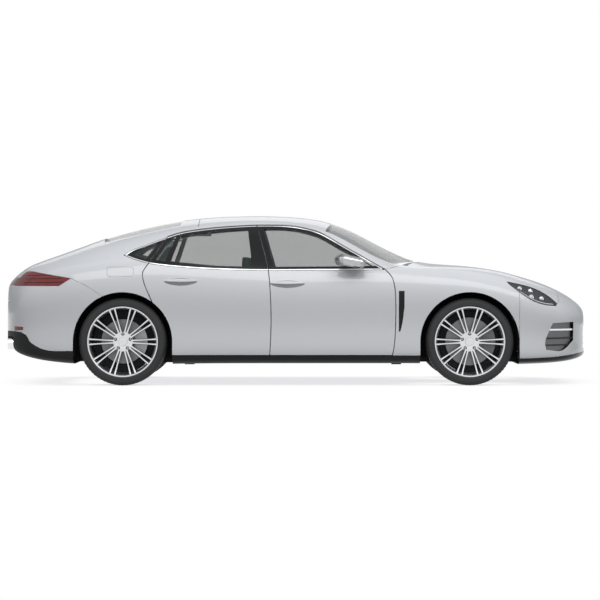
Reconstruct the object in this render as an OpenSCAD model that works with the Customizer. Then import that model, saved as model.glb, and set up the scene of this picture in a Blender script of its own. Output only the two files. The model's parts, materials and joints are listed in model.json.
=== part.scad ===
// Five-door sports sedan: a hollow painted body with opening doors, bonnet and tailgate,
// on four turning wheels of which the front pair steers.
// The outside is one smooth form, lofted through cross sections, and each panel is a piece of it,
// cut to outlines drawn in side, top and rear view.
// X points to the nose, Y to the left and Z up; the origin is on the ground under the middle.

/* [Overall] */
// Distance between the axles
wheelbase = 2880; // [2600:10:3100]
// From the front axle to the tip of the nose
front_overhang = 1025; // [900:5:1150]
// From the rear axle to the end of the tail
rear_overhang = 1025; // [900:5:1150]
// Width of the body without its mirrors
body_width = 1936; // [1780:2:2050]
// Height of the roof above the ground
body_height = 1420; // [1350:5:1500]

/* [Panels] */
// Gap round each panel that opens
shut_gap = 11.5; // [9:0.5:13]
// Seam between panels that stay put
fixed_seam = 0.6; // [0.4:0.1:0.9]
// Thickness of a door below its window
door_t = 90; // [75:1:110]
// Thickness of the door's frame round the window
frame_t = 52; // [40:1:60]
// Thickness of the door's outer flange
flange_t = 10; // [8:0.5:12]
// How far the door's inner part stands back from its flange
flange_step = 24; // [20:1:30]
// Thickness of the roof, body sides and tailgate
shell_t = 36; // [28:1:45]
// Thickness of the bonnet
bonnet_t = 28; // [20:1:32]
// Thickness of fenders, bumpers and skirts
skin_t = 5; // [4:0.5:7]
// Thickness of each pane of glass
glass_t = 5; // [4:0.5:6]
// Depth of the glass below the outside of its frame
glass_inset = 5; // [3:0.5:8]
// Clearance between a pane or lamp and its frame
fit_gap = 0.3; // [0.2:0.1:0.5]

/* [Wheels] */
// Diameter of the tyres
tyre_d = 726; // [690:2:740]
// Width of a front tyre
front_tyre_w = 275; // [245:5:285]
// Width of a rear tyre
rear_tyre_w = 315; // [285:5:325]
// Diameter of the rims as a share of the tyres'
rim_share = 0.81; // [0.78:0.01:0.84]
// Room between a tyre and the edge of its wheel arch
arch_gap = 49; // [42:1:57]
// How far the wheels' outer faces stand in from the body's widest part
wheel_inset = 26; // [15:1:40]
// Number of twin spokes
spoke_pairs = 10; // [7:1:12]
// Diameter of the front brake discs as a share of the rims'
front_disc_share = 0.68; // [0.6:0.01:0.7]
// Diameter of the rear brake discs as a share of the rims'
rear_disc_share = 0.63; // [0.56:0.01:0.68]
// Thickness of a brake disc
disc_t = 34; // [28:1:38]

/* [Moving parts] */
// Diameter of the hinge pins
hinge_pin_d = 12; // [10:1:16]
// Clearance round a hinge pin
pin_clearance = 0.15; // [0.1:0.05:0.3]
// How far a door's hinge pin lies behind the door's leading edge
hinge_back = 40; // [36:1:46]
// How far a door's hinge pin lies inside the door's skin
hinge_in = 25; // [22:1:28]
// Length of the exposed part of each kingpin
kingpin_l = 150; // [120:5:180]

/* [Hidden] */
overrun = 1;
half_w = body_width / 2;
rear_axle_x = -(wheelbase + front_overhang - rear_overhang) / 2;
front_axle_x = rear_axle_x + wheelbase;
tail_x = rear_axle_x - rear_overhang;
nose_x = front_axle_x + front_overhang;
tyre_r = tyre_d / 2;
rim_d = tyre_d * rim_share;
arch_r = tyre_r + arch_gap;
front_disc_d = rim_d * front_disc_share;
rear_disc_d = rim_d * rear_disc_share;
$fn = 48;

// Colours of the bare solids
paint = [0.86, 0.87, 0.9];
dark = [0.12, 0.12, 0.13];
glass = [0.25, 0.3, 0.3, 0.6];
bright = [0.75, 0.76, 0.78];
rubber = [0.07, 0.07, 0.07];
red = [0.6, 0.05, 0.06];
grey = [0.4, 0.41, 0.43];
leather = [0.2, 0.18, 0.17];

// Cross sections of the body, from tail to nose. A station counts axles: 0 is the tail,
// 1 the rear axle, 2 the front axle and 3 the nose. Widths are shares of the half width
// and heights are shares of the body's height.
station_shares = [0, 0.005, 0.035, 0.11, 0.19, 0.33, 0.56, 0.80, 1.02, 1.12, 1.22, 1.34, 1.46,
    1.56, 1.63, 1.69, 1.75, 1.80, 1.85, 1.91, 2.00, 2.26, 2.48, 2.68, 2.85, 2.955, 2.995, 3];
// Underside
under_shares = [0.245, 0.24, 0.22, 0.19, 0.165, 0.14, 0.122, 0.116, 0.116, 0.12, 0.123, 0.124, 0.124,
    0.124, 0.124, 0.124, 0.124, 0.124, 0.124, 0.122, 0.116, 0.116, 0.12, 0.125, 0.137, 0.158, 0.174, 0.18];
// Half width at the widest
side_shares = [0, 0.31, 0.61, 0.8, 0.88, 0.935, 0.976, 0.996, 1, 0.987, 0.974, 0.967, 0.965,
    0.964, 0.963, 0.963, 0.963, 0.964, 0.967, 0.976, 0.988, 0.98, 0.945, 0.873, 0.73, 0.5, 0.23, 0];
// Belt line below the windows, which runs on as the crest of the fenders
belt_y_shares = [0, 0.3, 0.59, 0.76, 0.816, 0.863, 0.9, 0.921, 0.935, 0.925, 0.912, 0.903, 0.897,
    0.893, 0.89, 0.888, 0.886, 0.884, 0.883, 0.884, 0.884, 0.866, 0.826, 0.75, 0.61, 0.43, 0.2, 0];
belt_z_shares = [0.45, 0.452, 0.466, 0.523, 0.597, 0.65, 0.692, 0.709, 0.717, 0.717, 0.702, 0.688, 0.682,
    0.682, 0.684, 0.686, 0.687, 0.685, 0.682, 0.68, 0.672, 0.637, 0.58, 0.52, 0.456, 0.415, 0.39, 0.383];
// Side rail of the roof, which runs on as the edge of the bonnet and of the tail
rail_y_shares = [0, 0.25, 0.487, 0.605, 0.63, 0.646, 0.661, 0.671, 0.674, 0.667, 0.654, 0.64, 0.636,
    0.643, 0.668, 0.714, 0.768, 0.788, 0.786, 0.77, 0.74, 0.714, 0.667, 0.58, 0.445, 0.3, 0.135, 0];
rail_z_shares = [0.553, 0.557, 0.578, 0.625, 0.675, 0.717, 0.767, 0.814, 0.857, 0.9, 0.933, 0.955, 0.953,
    0.921, 0.868, 0.795, 0.723, 0.696, 0.692, 0.695, 0.693, 0.668, 0.618, 0.562, 0.5, 0.45, 0.418, 0.408];
// Top on the centre line
top_z_shares = [0.59, 0.597, 0.622, 0.668, 0.706, 0.741, 0.8, 0.867, 0.919, 0.963, 0.992, 1.002, 1.001,
    0.983, 0.944, 0.888, 0.821, 0.772, 0.727, 0.708, 0.7, 0.675, 0.632, 0.588, 0.527, 0.472, 0.433, 0.421];

// Points of the lower side, each by its share of the rise from underside to belt
// and its share of the section's half width
lower_side_shares = [[0, 0.5], [0, 0.87], [0.035, 0.975], [0.15, 0.997], [0.4, 0.966], [0.68, 1.004],
    [0.87, 0.985]];
// Points between belt and rail, and how far they bow outward as a share of the half width
upper_side_shares = [[0.14, 0.004], [0.5, 0.013]];
// Points of the roof between rail and centre: share of the rail's width, share of the rise
roof_shares = [[0.72, 0.5], [0.36, 0.88]];
// Which way the skin faces at each point of a section, sideways and up
lean_shares = [[0, -1], [0, -1], [0.5, -1], [0.9, -0.45], [1, 0], [1, 0], [1, 0], [1, 0.1],
    [0.95, 0.3], [0.9, 0.4], [0.86, 0.5], [0.6, 0.8], [0.3, 0.95], [0.1, 1], [0, 1]];
belt_row = 8;
last_section = len(station_shares) - 1;
last_row = len(lean_shares) - 1;
// Steps between neighbouring sections and between neighbouring points of a section,
// on the outside and on inner faces
fine_steps = 2;
plain_steps = 1;

function mix(a, b, t) = a + (b - a) * t;

// Place along the car of a station
function station_x(s) = s < 1 ? tail_x + s * rear_overhang
    : s < 2 ? rear_axle_x + (s - 1) * wheelbase
    : front_axle_x + (s - 2) * front_overhang;
function height_z(share) = share * body_height;
function width_y(share) = share * half_w;

// Guide points of section i, on the left side, moved inward by low below the belt and by high above it
function section(i, low, high) =
    let (under = height_z(under_shares[i]), side = width_y(side_shares[i]),
        belt = [width_y(belt_y_shares[i]), height_z(belt_z_shares[i])],
        rail = [width_y(rail_y_shares[i]), height_z(rail_z_shares[i])],
        top = height_z(top_z_shares[i]),
        shape = concat(
            [[0, under]],
            [for (p = lower_side_shares) [side * p[1], mix(under, belt[1], p[0])]],
            [belt],
            [for (p = upper_side_shares) mix(belt, rail, p[0]) + [side * p[1], 0]],
            [rail],
            [for (p = roof_shares) [rail[0] * p[0], mix(rail[1], top, p[1])]],
            [[0, top]]),
        x = station_x(station_shares[i]) * (1 - low / (wheelbase + front_overhang + rear_overhang) * 2))
    [for (k = [0 : len(shape) - 1])
        let (inward = k <= belt_row ? low : high)
        [x, max(0, shape[k][0] - inward * lean_shares[k][0]), shape[k][1] - inward * lean_shares[k][1]]];

function other_side(p) = [p[0], -p[1], p[2]];

// Smooth weights of four neighbouring guide points at share f between the middle two
function weights(f) = [pow(1 - f, 3), 3 * pow(f, 3) - 6 * pow(f, 2) + 4,
    -3 * pow(f, 3) + 3 * pow(f, 2) + 3 * f + 1, pow(f, 3)] / 6;

// A row of guide points with a mirrored point added at each end
function closed_row(row) = concat([other_side(row[1])], row, [other_side(row[len(row) - 2])]);
function closed_net(net) = concat([[for (p = net[1]) other_side(p)]], net,
    [[for (p = net[len(net) - 2]) other_side(p)]]);

// Section at place u of a closed net, u counting sections
function net_section(net, u) =
    let (i = min(floor(u), last_section - 1), w = weights(u - i))
    [for (k = [0 : last_row]) w[0] * net[i][k] + w[1] * net[i + 1][k] + w[2] * net[i + 2][k] + w[3] * net[i + 3][k]];

// Point at place v of a closed section, v counting its points
function row_point(row, v) =
    let (j = min(floor(v), last_row - 1), w = weights(v - j))
    w[0] * row[j] + w[1] * row[j + 1] + w[2] * row[j + 2] + w[3] * row[j + 3];

function form_net(low, high) = closed_net([for (i = [0 : last_section]) section(i, low, high)]);

// Surface of the body on the left side, one list of points per section
function form_grid(low, high, steps) =
    let (net = form_net(low, high))
    [for (i = [0 : last_section * steps])
        let (row = closed_row(net_section(net, i / steps)))
        [for (k = [0 : last_row * steps]) row_point(row, k / steps)]];

// The whole body as one solid, drawn in by low below the belt and by high above it
module body_form(low = 0, high = 0, steps = fine_steps) {
    grid = form_grid(low, high, steps);
    m = len(grid);
    n = len(grid[0]);
    left = [for (row = grid) for (p = row) p];
    function index(side, i, k) = i * n + k
        + (side > 0 || i == 0 || i == m - 1 || k == 0 || k == n - 1 ? 0 : m * n);
    function cell(side, a, b, c, d) = side < 0 ? [[a, b, c], [a, c, d]] : [[c, b, a], [d, c, a]];
    faces = [for (side = [1, -1]) for (i = [0 : m - 2]) for (k = [0 : n - 2])
        let (a = index(side, i, k), b = index(side, i, k + 1), c = index(side, i + 1, k + 1), d = index(side, i + 1, k))
        for (f = cell(side, a, b, c, d)) if (f[0] != f[1] && f[1] != f[2] && f[2] != f[0]) f];
    polyhedron(concat(left, [for (p = left) other_side(p)]), faces);
}

// Half width of the body at x and z, found by halving
outer_net = form_net(0, 0);
halvings = 18;
function place_of(x, lo = 0, hi = last_section, n = halvings) =
    n == 0 ? (lo + hi) / 2
    : let (u = (lo + hi) / 2, i = min(floor(u), last_section - 1), w = weights(u - i),
        at = w[0] * outer_net[i][0][0] + w[1] * outer_net[i + 1][0][0]
            + w[2] * outer_net[i + 2][0][0] + w[3] * outer_net[i + 3][0][0])
    at < x ? place_of(x, u, hi, n - 1) : place_of(x, lo, u, n - 1);
function row_at(row, z, lo, hi, n = halvings) =
    n == 0 ? row_point(row, (lo + hi) / 2)
    : let (v = (lo + hi) / 2)
    row_point(row, v)[2] < z ? row_at(row, z, v, hi, n - 1) : row_at(row, z, lo, v, n - 1);
function skin_y(x, z) = row_at(closed_row(net_section(outer_net, place_of(x))), z, 2, last_row)[1];
// Height of the top at x and y, found in the same way
function top_at(row, y, lo, hi, n = halvings) =
    n == 0 ? row_point(row, (lo + hi) / 2)
    : let (v = (lo + hi) / 2)
    row_point(row, v)[1] > y ? top_at(row, y, v, hi, n - 1) : top_at(row, y, lo, v, n - 1);
function skin_z(x, y) = top_at(closed_row(net_section(outer_net, place_of(x))), y, belt_row, last_row)[2];

// Side-view outlines: each point is a station and a share of the body's height
function side_points(shares) = [for (p = shares) [station_x(p[0]), height_z(p[1])]];
// Top-view outlines: each point is a station and a share of the half width
function top_points(shares) = [for (p = shares) [station_x(p[0]), width_y(p[1])]];
function reversed(list) = [for (i = [len(list) - 1 : -1 : 0]) list[i]];
function both_sides(points) = concat(points, [for (p = reversed(points)) [p[0], -p[1]]]);

// Height of the sill above which the painted body starts
sill_share = 0.176;
// Front edge of the front door, from sill to windscreen pillar
door_front_shares = [[1.777, 0.176], [1.783, 0.25], [1.786, 0.36], [1.786, 0.5], [1.783, 0.58],
    [1.775, 0.635], [1.756, 0.679]];
// Top edge of both doors, from windscreen pillar to the rear
door_top_shares = [[1.70, 0.745], [1.641, 0.813], [1.568, 0.897], [1.52, 0.925], [1.476, 0.938],
    [1.3816, 0.941], [1.267, 0.926], [1.1667, 0.898], [1.1264, 0.873]];
// Line between the doors, from the top down
door_split_shares = [[1.384, 0.941], [1.403, 0.81], [1.4188, 0.677], [1.4255, 0.52], [1.4274, 0.369],
    [1.4235, 0.176]];
// Rear edge of the rear door, from the top down to the arch
door_rear_shares = [[1.1264, 0.873], [1.075, 0.716], [1.058, 0.66], [1.061, 0.608], [1.09, 0.466]];
// Windows of the doors and the fixed pane behind them
front_window_shares = [[1.735, 0.699], [1.64, 0.789], [1.568, 0.869], [1.482, 0.912], [1.405, 0.917],
    [1.436, 0.693], [1.6, 0.695]];
rear_window_shares = [[1.359, 0.917], [1.27, 0.903], [1.165, 0.876], [1.137, 0.722], [1.25, 0.7],
    [1.373, 0.693]];
vent_window_shares = [[1.151, 0.871], [1.134, 0.858], [1.094, 0.733], [1.122, 0.725]];
quarter_window_shares = [[1.105, 0.84], [1.045, 0.795], [1.025, 0.767], [1.066, 0.741]];
// Headlamp, and the line between fender and bumper below it
headlamp_shares = [[2.3, 0.607], [2.397, 0.593], [2.517, 0.57], [2.638, 0.526], [2.719, 0.4775],
    [2.7066, 0.464], [2.6137, 0.47], [2.517, 0.492], [2.429, 0.531], [2.3325, 0.5814]];
bumper_seam_share = 2.402;
// Side intakes of the front bumper
intake_shares = [[2.679, 0.3635], [2.86, 0.369], [2.86, 0.26], [2.759, 0.2014], [2.622, 0.207],
    [2.6137, 0.2516], [2.6625, 0.341]];
// Middle intake: share of the half width, lower and upper edge as shares of the height
grille_shares = [0.4, 0.2, 0.345];
// Lower edge of the painted front bumper
lip_shares = [[2.3, 0.155], [2.7, 0.165], [3.05, 0.195]];
// Tail lamp, and the seam from its tip to the rear arch
tail_lamp_shares = [[0.582, 0.626], [0.4855, 0.5817], [-0.05, 0.5817], [-0.05, 0.66], [0.252, 0.6655]];
bumper_top_shares = [[0.84, 0.52], [0.72, 0.578], [0.582, 0.626]];
// Lower edge of the painted rear bumper
diffuser_shares = [[0.7, 0.2], [0.59, 0.2014], [0.373, 0.207], [0.25, 0.2514], [0.196, 0.302], [-0.05, 0.313]];
// Fender vent behind the front wheel
vent_shares = [[1.795, 0.553], [1.8115, 0.553], [1.8115, 0.46], [1.805, 0.36], [1.8, 0.318], [1.795, 0.314]];
// Top-view edges, from the centre line outward
bonnet_shares = [[1.865, 0], [1.855, 0.35], [1.82, 0.76], [2, 0.735], [2.26, 0.7], [2.5, 0.655], [2.68, 0.59],
    [2.8, 0.49], [2.885, 0.3], [2.925, 0]];
screen_shares = [[1.85, 0], [1.835, 0.42], [1.785, 0.755], [1.7, 0.7], [1.585, 0.6], [1.6, 0.3], [1.604, 0]];
roof_edge_shares = [[1.604, 0], [1.6, 0.3], [1.585, 0.6], [1.46, 0.575], [1.215, 0.6], [1.215, 0]];
tailgate_shares = [[1.215, 0], [1.215, 0.6], [1, 0.62], [0.6, 0.625], [0.3, 0.62], [-0.1, 0.62], [-0.1, 0]];
rear_screen_shares = [[1.165, 0], [1.16, 0.5], [1.0, 0.545], [0.83, 0.53], [0.815, 0.3], [0.81, 0]];
tailgate_bottom_share = 0.49;
light_strip_shares = [0.585, 0.628];

arch_z = tyre_r;
sill_z = height_z(sill_share);
floor_t = 40;
floor_z = height_z(under_shares[12]);
front_wheel_y = half_w * side_shares[20] - wheel_inset - front_tyre_w / 2;
rear_wheel_y = half_w * side_shares[8] - wheel_inset - rear_tyre_w / 2;
steer_room = 215;
rear_room = 35;
front_well_y = front_wheel_y - front_tyre_w / 2 - steer_room;
rear_well_y = rear_wheel_y - rear_tyre_w / 2 - rear_room;

// A line of width w through points, drawn in short steps with round joints
ribbon_steps = 2;
module ribbon(points, w) {
    for (i = [0 : len(points) - 2])
        for (k = [0 : ribbon_steps - 1])
            hull()
                for (t = [k, k + 1])
                    translate(mix(points[i], points[i + 1], t / ribbon_steps)) circle(d = w, $fn = 8);
}
module loop_ribbon(points, w) ribbon(concat(points, [points[0]]), w);

// Stands a side-view drawing up across the left half, from y = from outward
module from_side(from = 0) {
    translate([0, body_width, 0]) rotate([90, 0, 0]) linear_extrude(body_width - from) children();
}
// The same drawing across both halves
module across() translate([0, body_width, 0]) rotate([90, 0, 0]) linear_extrude(2 * body_width) children();
module from_top() linear_extrude(2 * body_height) children();
module from_behind(x0, x1) translate([x0, 0, 0]) rotate([90, 0, 90]) linear_extrude(x1 - x0) children();
module pair() {
    children();
    mirror([0, 1, 0]) children();
}
module skin(t) {
    difference() {
        children();
        body_form(t, t, plain_steps);
    }
}

function before(shares, s) = [for (p = shares) if (p[0] > s) p];
function behind(shares, s) = [for (p = shares) if (p[0] < s) p];
split_s = door_split_shares[0][0];
front_door_outline = side_points(concat(door_front_shares, before(door_top_shares, split_s), door_split_shares));
rear_door_outline = concat(
    side_points(concat(reversed(door_split_shares), behind(door_top_shares, split_s), door_rear_shares)),
    [[rear_axle_x, arch_z], [rear_axle_x, sill_z]]);
doors_line = side_points(concat(door_front_shares, door_top_shares, door_rear_shares));
split_line = side_points(door_split_shares);
sill_line = [[rear_axle_x, sill_z], [front_axle_x, sill_z]];
above_all = 1.3;
below_all = -0.1;

module arch_hole(x, r = arch_r) {
    translate([x, arch_z]) circle(r);
    translate([x - r, -overrun]) square([2 * r, arch_z + overrun]);
}
module arch_holes(r = arch_r) {
    arch_hole(front_axle_x, r);
    arch_hole(rear_axle_x, r);
}
module shut_lines(extra = 0) {
    ribbon(doors_line, shut_gap + 2 * extra);
    ribbon(split_line, shut_gap + 2 * extra);
    ribbon(sill_line, shut_gap + 2 * extra);
}
module door_face(outline, extra = 0) {
    difference() {
        polygon(outline);
        shut_lines(extra);
        arch_holes(arch_r + extra);
    }
}

// Top-view areas, grown where others keep clear of them
module top_area(shares, gap) {
    outline = both_sides(top_points(shares));
    if (gap >= 0) {
        polygon(outline);
        loop_ribbon(outline, gap + fixed_seam);
    } else difference() {
        polygon(outline);
        loop_ribbon(outline, -gap);
    }
}
module tailgate_space(gap) {
    lift = gap / 2;
    intersection() {
        from_top() top_area(tailgate_shares, gap);
        translate([tail_x - body_width, -body_width, height_z(tailgate_bottom_share) - lift])
            cube([wheelbase + 2 * body_width, 2 * body_width, body_height]);
    }
}
module cut_tops() {
    from_top() {
        top_area(bonnet_shares, shut_gap);
        top_area(screen_shares, fixed_seam);
        top_area(roof_edge_shares, fixed_seam);
        top_area(cowl_shares, fixed_seam);
    }
    tailgate_space(shut_gap);
}
cowl_shares = [[1.85, 0], [1.835, 0.42], [1.785, 0.755], [1.82, 0.76], [1.855, 0.35], [1.865, 0]];

// Hinges: a fork with a pin on the body and a leaf with a bore on the part that opens.
// Here the pin stands on Z, the arm runs to -Y and the leaf to -X.
hinge_height_shares = [0.36, 0.54];
hinge_heights = [for (s = hinge_height_shares) height_z(s)];
hinge_level_share = 0.5;
leaf_h = 40;
ear_t = 12;
ear_play = 1;
barrel_wall = 5;
barrel_r = hinge_pin_d / 2 + barrel_wall;
barrel_room = 3;
pocket_l = 24;
pocket_run = 110;
pocket_h = leaf_h + 2 * ear_t + 2 * shut_gap;
module fork_arms(arm, grow = 0) {
    for (e = [-1, 1])
        translate([-barrel_r - grow, -arm - grow, e * (leaf_h + ear_t) / 2 + (ear_play - ear_t) / 2 - grow])
            cube([2 * barrel_r + 2 * grow, arm + grow, ear_t - ear_play + 2 * grow]);
    translate([-barrel_r - grow, -arm - grow, -(leaf_h + ear_t) / 2])
        cube([2 * barrel_r + 2 * grow, ear_t + 2 * grow, leaf_h + ear_t]);
}
module fork(arm) {
    fork_arms(arm);
    cylinder(d = hinge_pin_d, h = leaf_h + 2 * ear_t, center = true);
    for (e = [-1, 1]) translate([0, 0, e * (leaf_h + ear_t) / 2])
        cylinder(r = barrel_r, h = ear_t - ear_play, center = true);
}
module leaf() difference() {
    union() {
        cylinder(r = barrel_r, h = leaf_h - 2 * ear_play, center = true);
        translate([fit_gap - pocket_l, -barrel_r, ear_play - leaf_h / 2])
            cube([pocket_l - fit_gap, 2 * barrel_r, leaf_h - 2 * ear_play]);
    }
    cylinder(d = hinge_pin_d + 2 * pin_clearance, h = leaf_h, center = true);
}
module pocket() translate([-pocket_l, -body_width, -pocket_h / 2])
    cube([pocket_l + pocket_run, body_width + barrel_r + barrel_room, pocket_h]);

// Doors: places of the upright pins, and arms that end inside the body's posts
post_t = 40;
post_gap = 7.5;
arm_l = door_t + post_gap - hinge_in + post_t;
front_hinge_x = station_x(door_front_shares[2][0]) - shut_gap / 2 - hinge_back;
rear_hinge_x = station_x(door_split_shares[4][0]) - shut_gap / 2 - hinge_back;
function hinge_y(x) = skin_y(x + hinge_back, height_z(hinge_level_share)) - hinge_in;
front_hinge = [front_hinge_x, hinge_y(front_hinge_x)];
rear_hinge = [rear_hinge_x, hinge_y(rear_hinge_x)];
module at_heights(hinge) for (z = hinge_heights) translate([hinge[0], hinge[1], z]) children();

// Bonnet and tailgate: places of the lying pins
bonnet_hinge_back = 65;
tailgate_hinge_back = 85;
bonnet_hinge_y_share = 0.661;
bonnet_hinge_y = width_y(bonnet_hinge_y_share);
bonnet_hinge_x = station_x(bonnet_shares[2][0]) + shut_gap / 2 + bonnet_hinge_back;
bonnet_hinge_z = skin_z(bonnet_hinge_x, bonnet_hinge_y) - hinge_in;
tailgate_hinge_y_share = 0.155;
tailgate_hinge_y = width_y(tailgate_hinge_y_share);
tailgate_hinge_x = station_x(tailgate_shares[0][0]) - shut_gap / 2 - tailgate_hinge_back;
tailgate_hinge_z = skin_z(tailgate_hinge_x, tailgate_hinge_y) - hinge_in;
module at_bonnet_hinges() for (side = [-1, 1])
    translate([bonnet_hinge_x, side * bonnet_hinge_y, bonnet_hinge_z]) rotate([90, 0, 180]) children();
module at_tailgate_hinges() for (side = [-1, 1])
    translate([tailgate_hinge_x, side * tailgate_hinge_y, tailgate_hinge_z]) rotate([90, 0, 0]) children();

// One door, left side, with its windows and hinge pockets cut and its handle added
module door(outline, windows, hinge, handle) {
    difference() {
        intersection() {
            body_form();
            from_side() door_face(outline);
        }
        body_form(door_t, frame_t, plain_steps);
        difference() {
            body_form(flange_t, flange_t, plain_steps);
            from_side() door_face(outline, flange_step);
        }
        for (w = windows) from_side() polygon(side_points(w));
        at_heights(hinge) pocket();
        from_top() {
            top_area(roof_edge_shares, shut_gap);
            top_area(tailgate_shares, 2 * shut_gap);
        }
    }
    door_handle(handle);
}
front_handle_shares = [[1.429, 0.592], [1.52, 0.592]];
rear_handle_shares = [[1.125, 0.608], [1.21, 0.602]];
handle_r = 12;
handle_proud = 14;
handle_sides = 8;
module door_handle(shares) {
    points = side_points(shares);
    inner = [for (p = points) [p[0], skin_y(p[0], p[1]), p[1]]];
    outer = [for (p = inner) p + [0, handle_proud, 0]];
    hull() for (p = outer) translate(p) sphere(handle_r, $fn = handle_sides);
    for (i = [0, 1]) hull() for (p = [inner[i] - [0, flange_t / 2, 0], outer[i]])
        translate(p) sphere(handle_r, $fn = handle_sides);
}
// Pane of glass for window outlines, left side
module panes(windows, steps = fine_steps) {
    intersection() {
        difference() {
            body_form(glass_inset, glass_inset, steps);
            body_form(glass_inset + glass_t, glass_inset + glass_t, steps);
        }
        from_side() for (w = windows) difference() {
            polygon(side_points(w));
            loop_ribbon(side_points(w), 2 * fit_gap);
        }
    }
}
module front_door() door(front_door_outline, [front_window_shares], front_hinge, front_handle_shares);
module rear_door() door(rear_door_outline, [rear_window_shares, vent_window_shares], rear_hinge, rear_handle_shares);
module door_front_left() color(paint) front_door();
module door_front_right() color(paint) mirror([0, 1, 0]) front_door();
module door_rear_left() color(paint) rear_door();
module door_rear_right() color(paint) mirror([0, 1, 0]) rear_door();
module glass_front_left() color(glass) panes([front_window_shares]);
module glass_front_right() color(glass) mirror([0, 1, 0]) panes([front_window_shares]);
module glass_rear_left() color(glass) panes([rear_window_shares, vent_window_shares]);
module glass_rear_right() color(glass) mirror([0, 1, 0]) panes([rear_window_shares, vent_window_shares]);
module hinges_front_left() color(grey) at_heights(front_hinge) leaf();
module hinges_front_right() color(grey) mirror([0, 1, 0]) at_heights(front_hinge) leaf();
module hinges_rear_left() color(grey) at_heights(rear_hinge) leaf();
module hinges_rear_right() color(grey) mirror([0, 1, 0]) at_heights(rear_hinge) leaf();
module door_hinge_forks() color(grey) pair() for (h = [front_hinge, rear_hinge]) at_heights(h) fork(arm_l);
module fork_sockets() for (h = [front_hinge, rear_hinge]) at_heights(h) fork_arms(arm_l, fit_gap);

// Lid hinges: the bonnet's forks stand on the firewall, the tailgate's hang from the roof on bent arms
foot_h = 40;
neck_l = 110;
neck_run = 150;
roof_hold = 12;
roof_rise = skin_z(tailgate_hinge_x + neck_run, tailgate_hinge_y) - skin_z(tailgate_hinge_x, tailgate_hinge_y);
module bonnet_forks() {
    foot_x = firewall_x + plate_t + fit_gap;
    arm = bonnet_hinge_z - firewall_top + foot_h;
    at_bonnet_hinges() fork(arm);
    for (side = [-1, 1]) translate([foot_x, side * bonnet_hinge_y - leaf_h / 2, firewall_top - foot_h])
        cube([bonnet_hinge_x - foot_x, leaf_h, foot_h - ear_t]);
}
module neck_top(grow = 0) translate([neck_run - grow, -neck_l, -leaf_h / 2 - grow])
    cube([2 * barrel_r + 2 * grow, neck_l + hinge_in - shell_t + roof_hold + roof_rise + grow, leaf_h + 2 * grow]);
module tailgate_necks() at_tailgate_hinges() {
    fork(neck_l);
    translate([0, -neck_l, -leaf_h / 2]) cube([neck_run + barrel_r, ear_t, leaf_h]);
    neck_top();
}
module lid_hinge_forks() color(grey) {
    bonnet_forks();
    tailgate_necks();
}
module bonnet_hinges() color(grey) at_bonnet_hinges() leaf();
module tailgate_hinges() color(grey) at_tailgate_hinges() leaf();

// Body sides: windscreen pillar, roof rail, rear quarter, sill and the posts behind the doors
pillar_foot_shares = [1.8, 0.7];
body_side_shares = concat([pillar_foot_shares, door_front_shares[len(door_front_shares) - 1]], door_top_shares,
    door_rear_shares, [[1, 0.3]], bumper_top_shares, [tail_lamp_shares[4], [below_all, 0.667],
    [below_all, above_all], [pillar_foot_shares[0], above_all]]);
side_extra = 10;
side_t = frame_t + side_extra;
post_w = 90;
// The posts end below the windscreen pillars, and below the belt they stay near the sides
post_end_share = [1.5, 0.69];
post_in_shares = [0.78, 0.6];
lamp_top_line = side_points(concat(bumper_top_shares, [tail_lamp_shares[4], [below_all, 0.667]]));
module post_face() {
    difference() {
        union() {
            polygon(front_door_outline);
            polygon(rear_door_outline);
            ribbon(doors_line, post_w);
        }
        difference() {
            union() {
                polygon(front_door_outline);
                polygon(rear_door_outline);
            }
            ribbon(doors_line, post_w);
            ribbon(split_line, post_w + post_w / 2);
            ribbon(sill_line, 2 * post_w);
        }
        arch_holes(arch_r + 3 * shut_gap);
        translate([tail_x, -body_height]) square([2 * wheelbase, body_height + floor_top + fit_gap]);
        for (w = [front_window_shares, rear_window_shares]) polygon(side_points(w));
        translate(side_points([post_end_share])[0]) square([wheelbase, body_height]);
    }
}
floor_top = floor_z + skin_t + floor_t;
module body_side() {
    difference() {
        union() {
            difference() {
                intersection() {
                    body_form();
                    from_side() difference() {
                        polygon(side_points(body_side_shares));
                        shut_lines();
                        ribbon(lamp_top_line, fixed_seam);
                        arch_holes();
                        polygon(side_points(quarter_window_shares));
                    }
                }
                body_form(side_t, side_t, plain_steps);
            }
            intersection() {
                difference() {
                    body_form(door_t + post_gap, frame_t + post_gap, plain_steps);
                    body_form(door_t + post_gap + post_t, frame_t + post_gap + post_t, plain_steps);
                }
                from_side() post_face();
            }
        }
        cut_tops();
        fork_sockets();
        translate([tail_x, -body_width, 0])
            cube([2 * wheelbase, body_width + width_y(post_in_shares[0]), height_z(post_in_shares[1])]);
    }
}
module body_sides() color(paint) pair() body_side();
module quarter_glass() color(glass) pair() panes([quarter_window_shares]);

// Panels of the top, all of them above one height
top_panel_share = 0.43;
module top_panel(shares, gap, depth, t) {
    intersection() {
        difference() {
            body_form(depth, depth);
            body_form(depth + t, depth + t, plain_steps);
        }
        translate([0, 0, height_z(top_panel_share)]) from_top() top_area(shares, -gap);
    }
}
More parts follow.
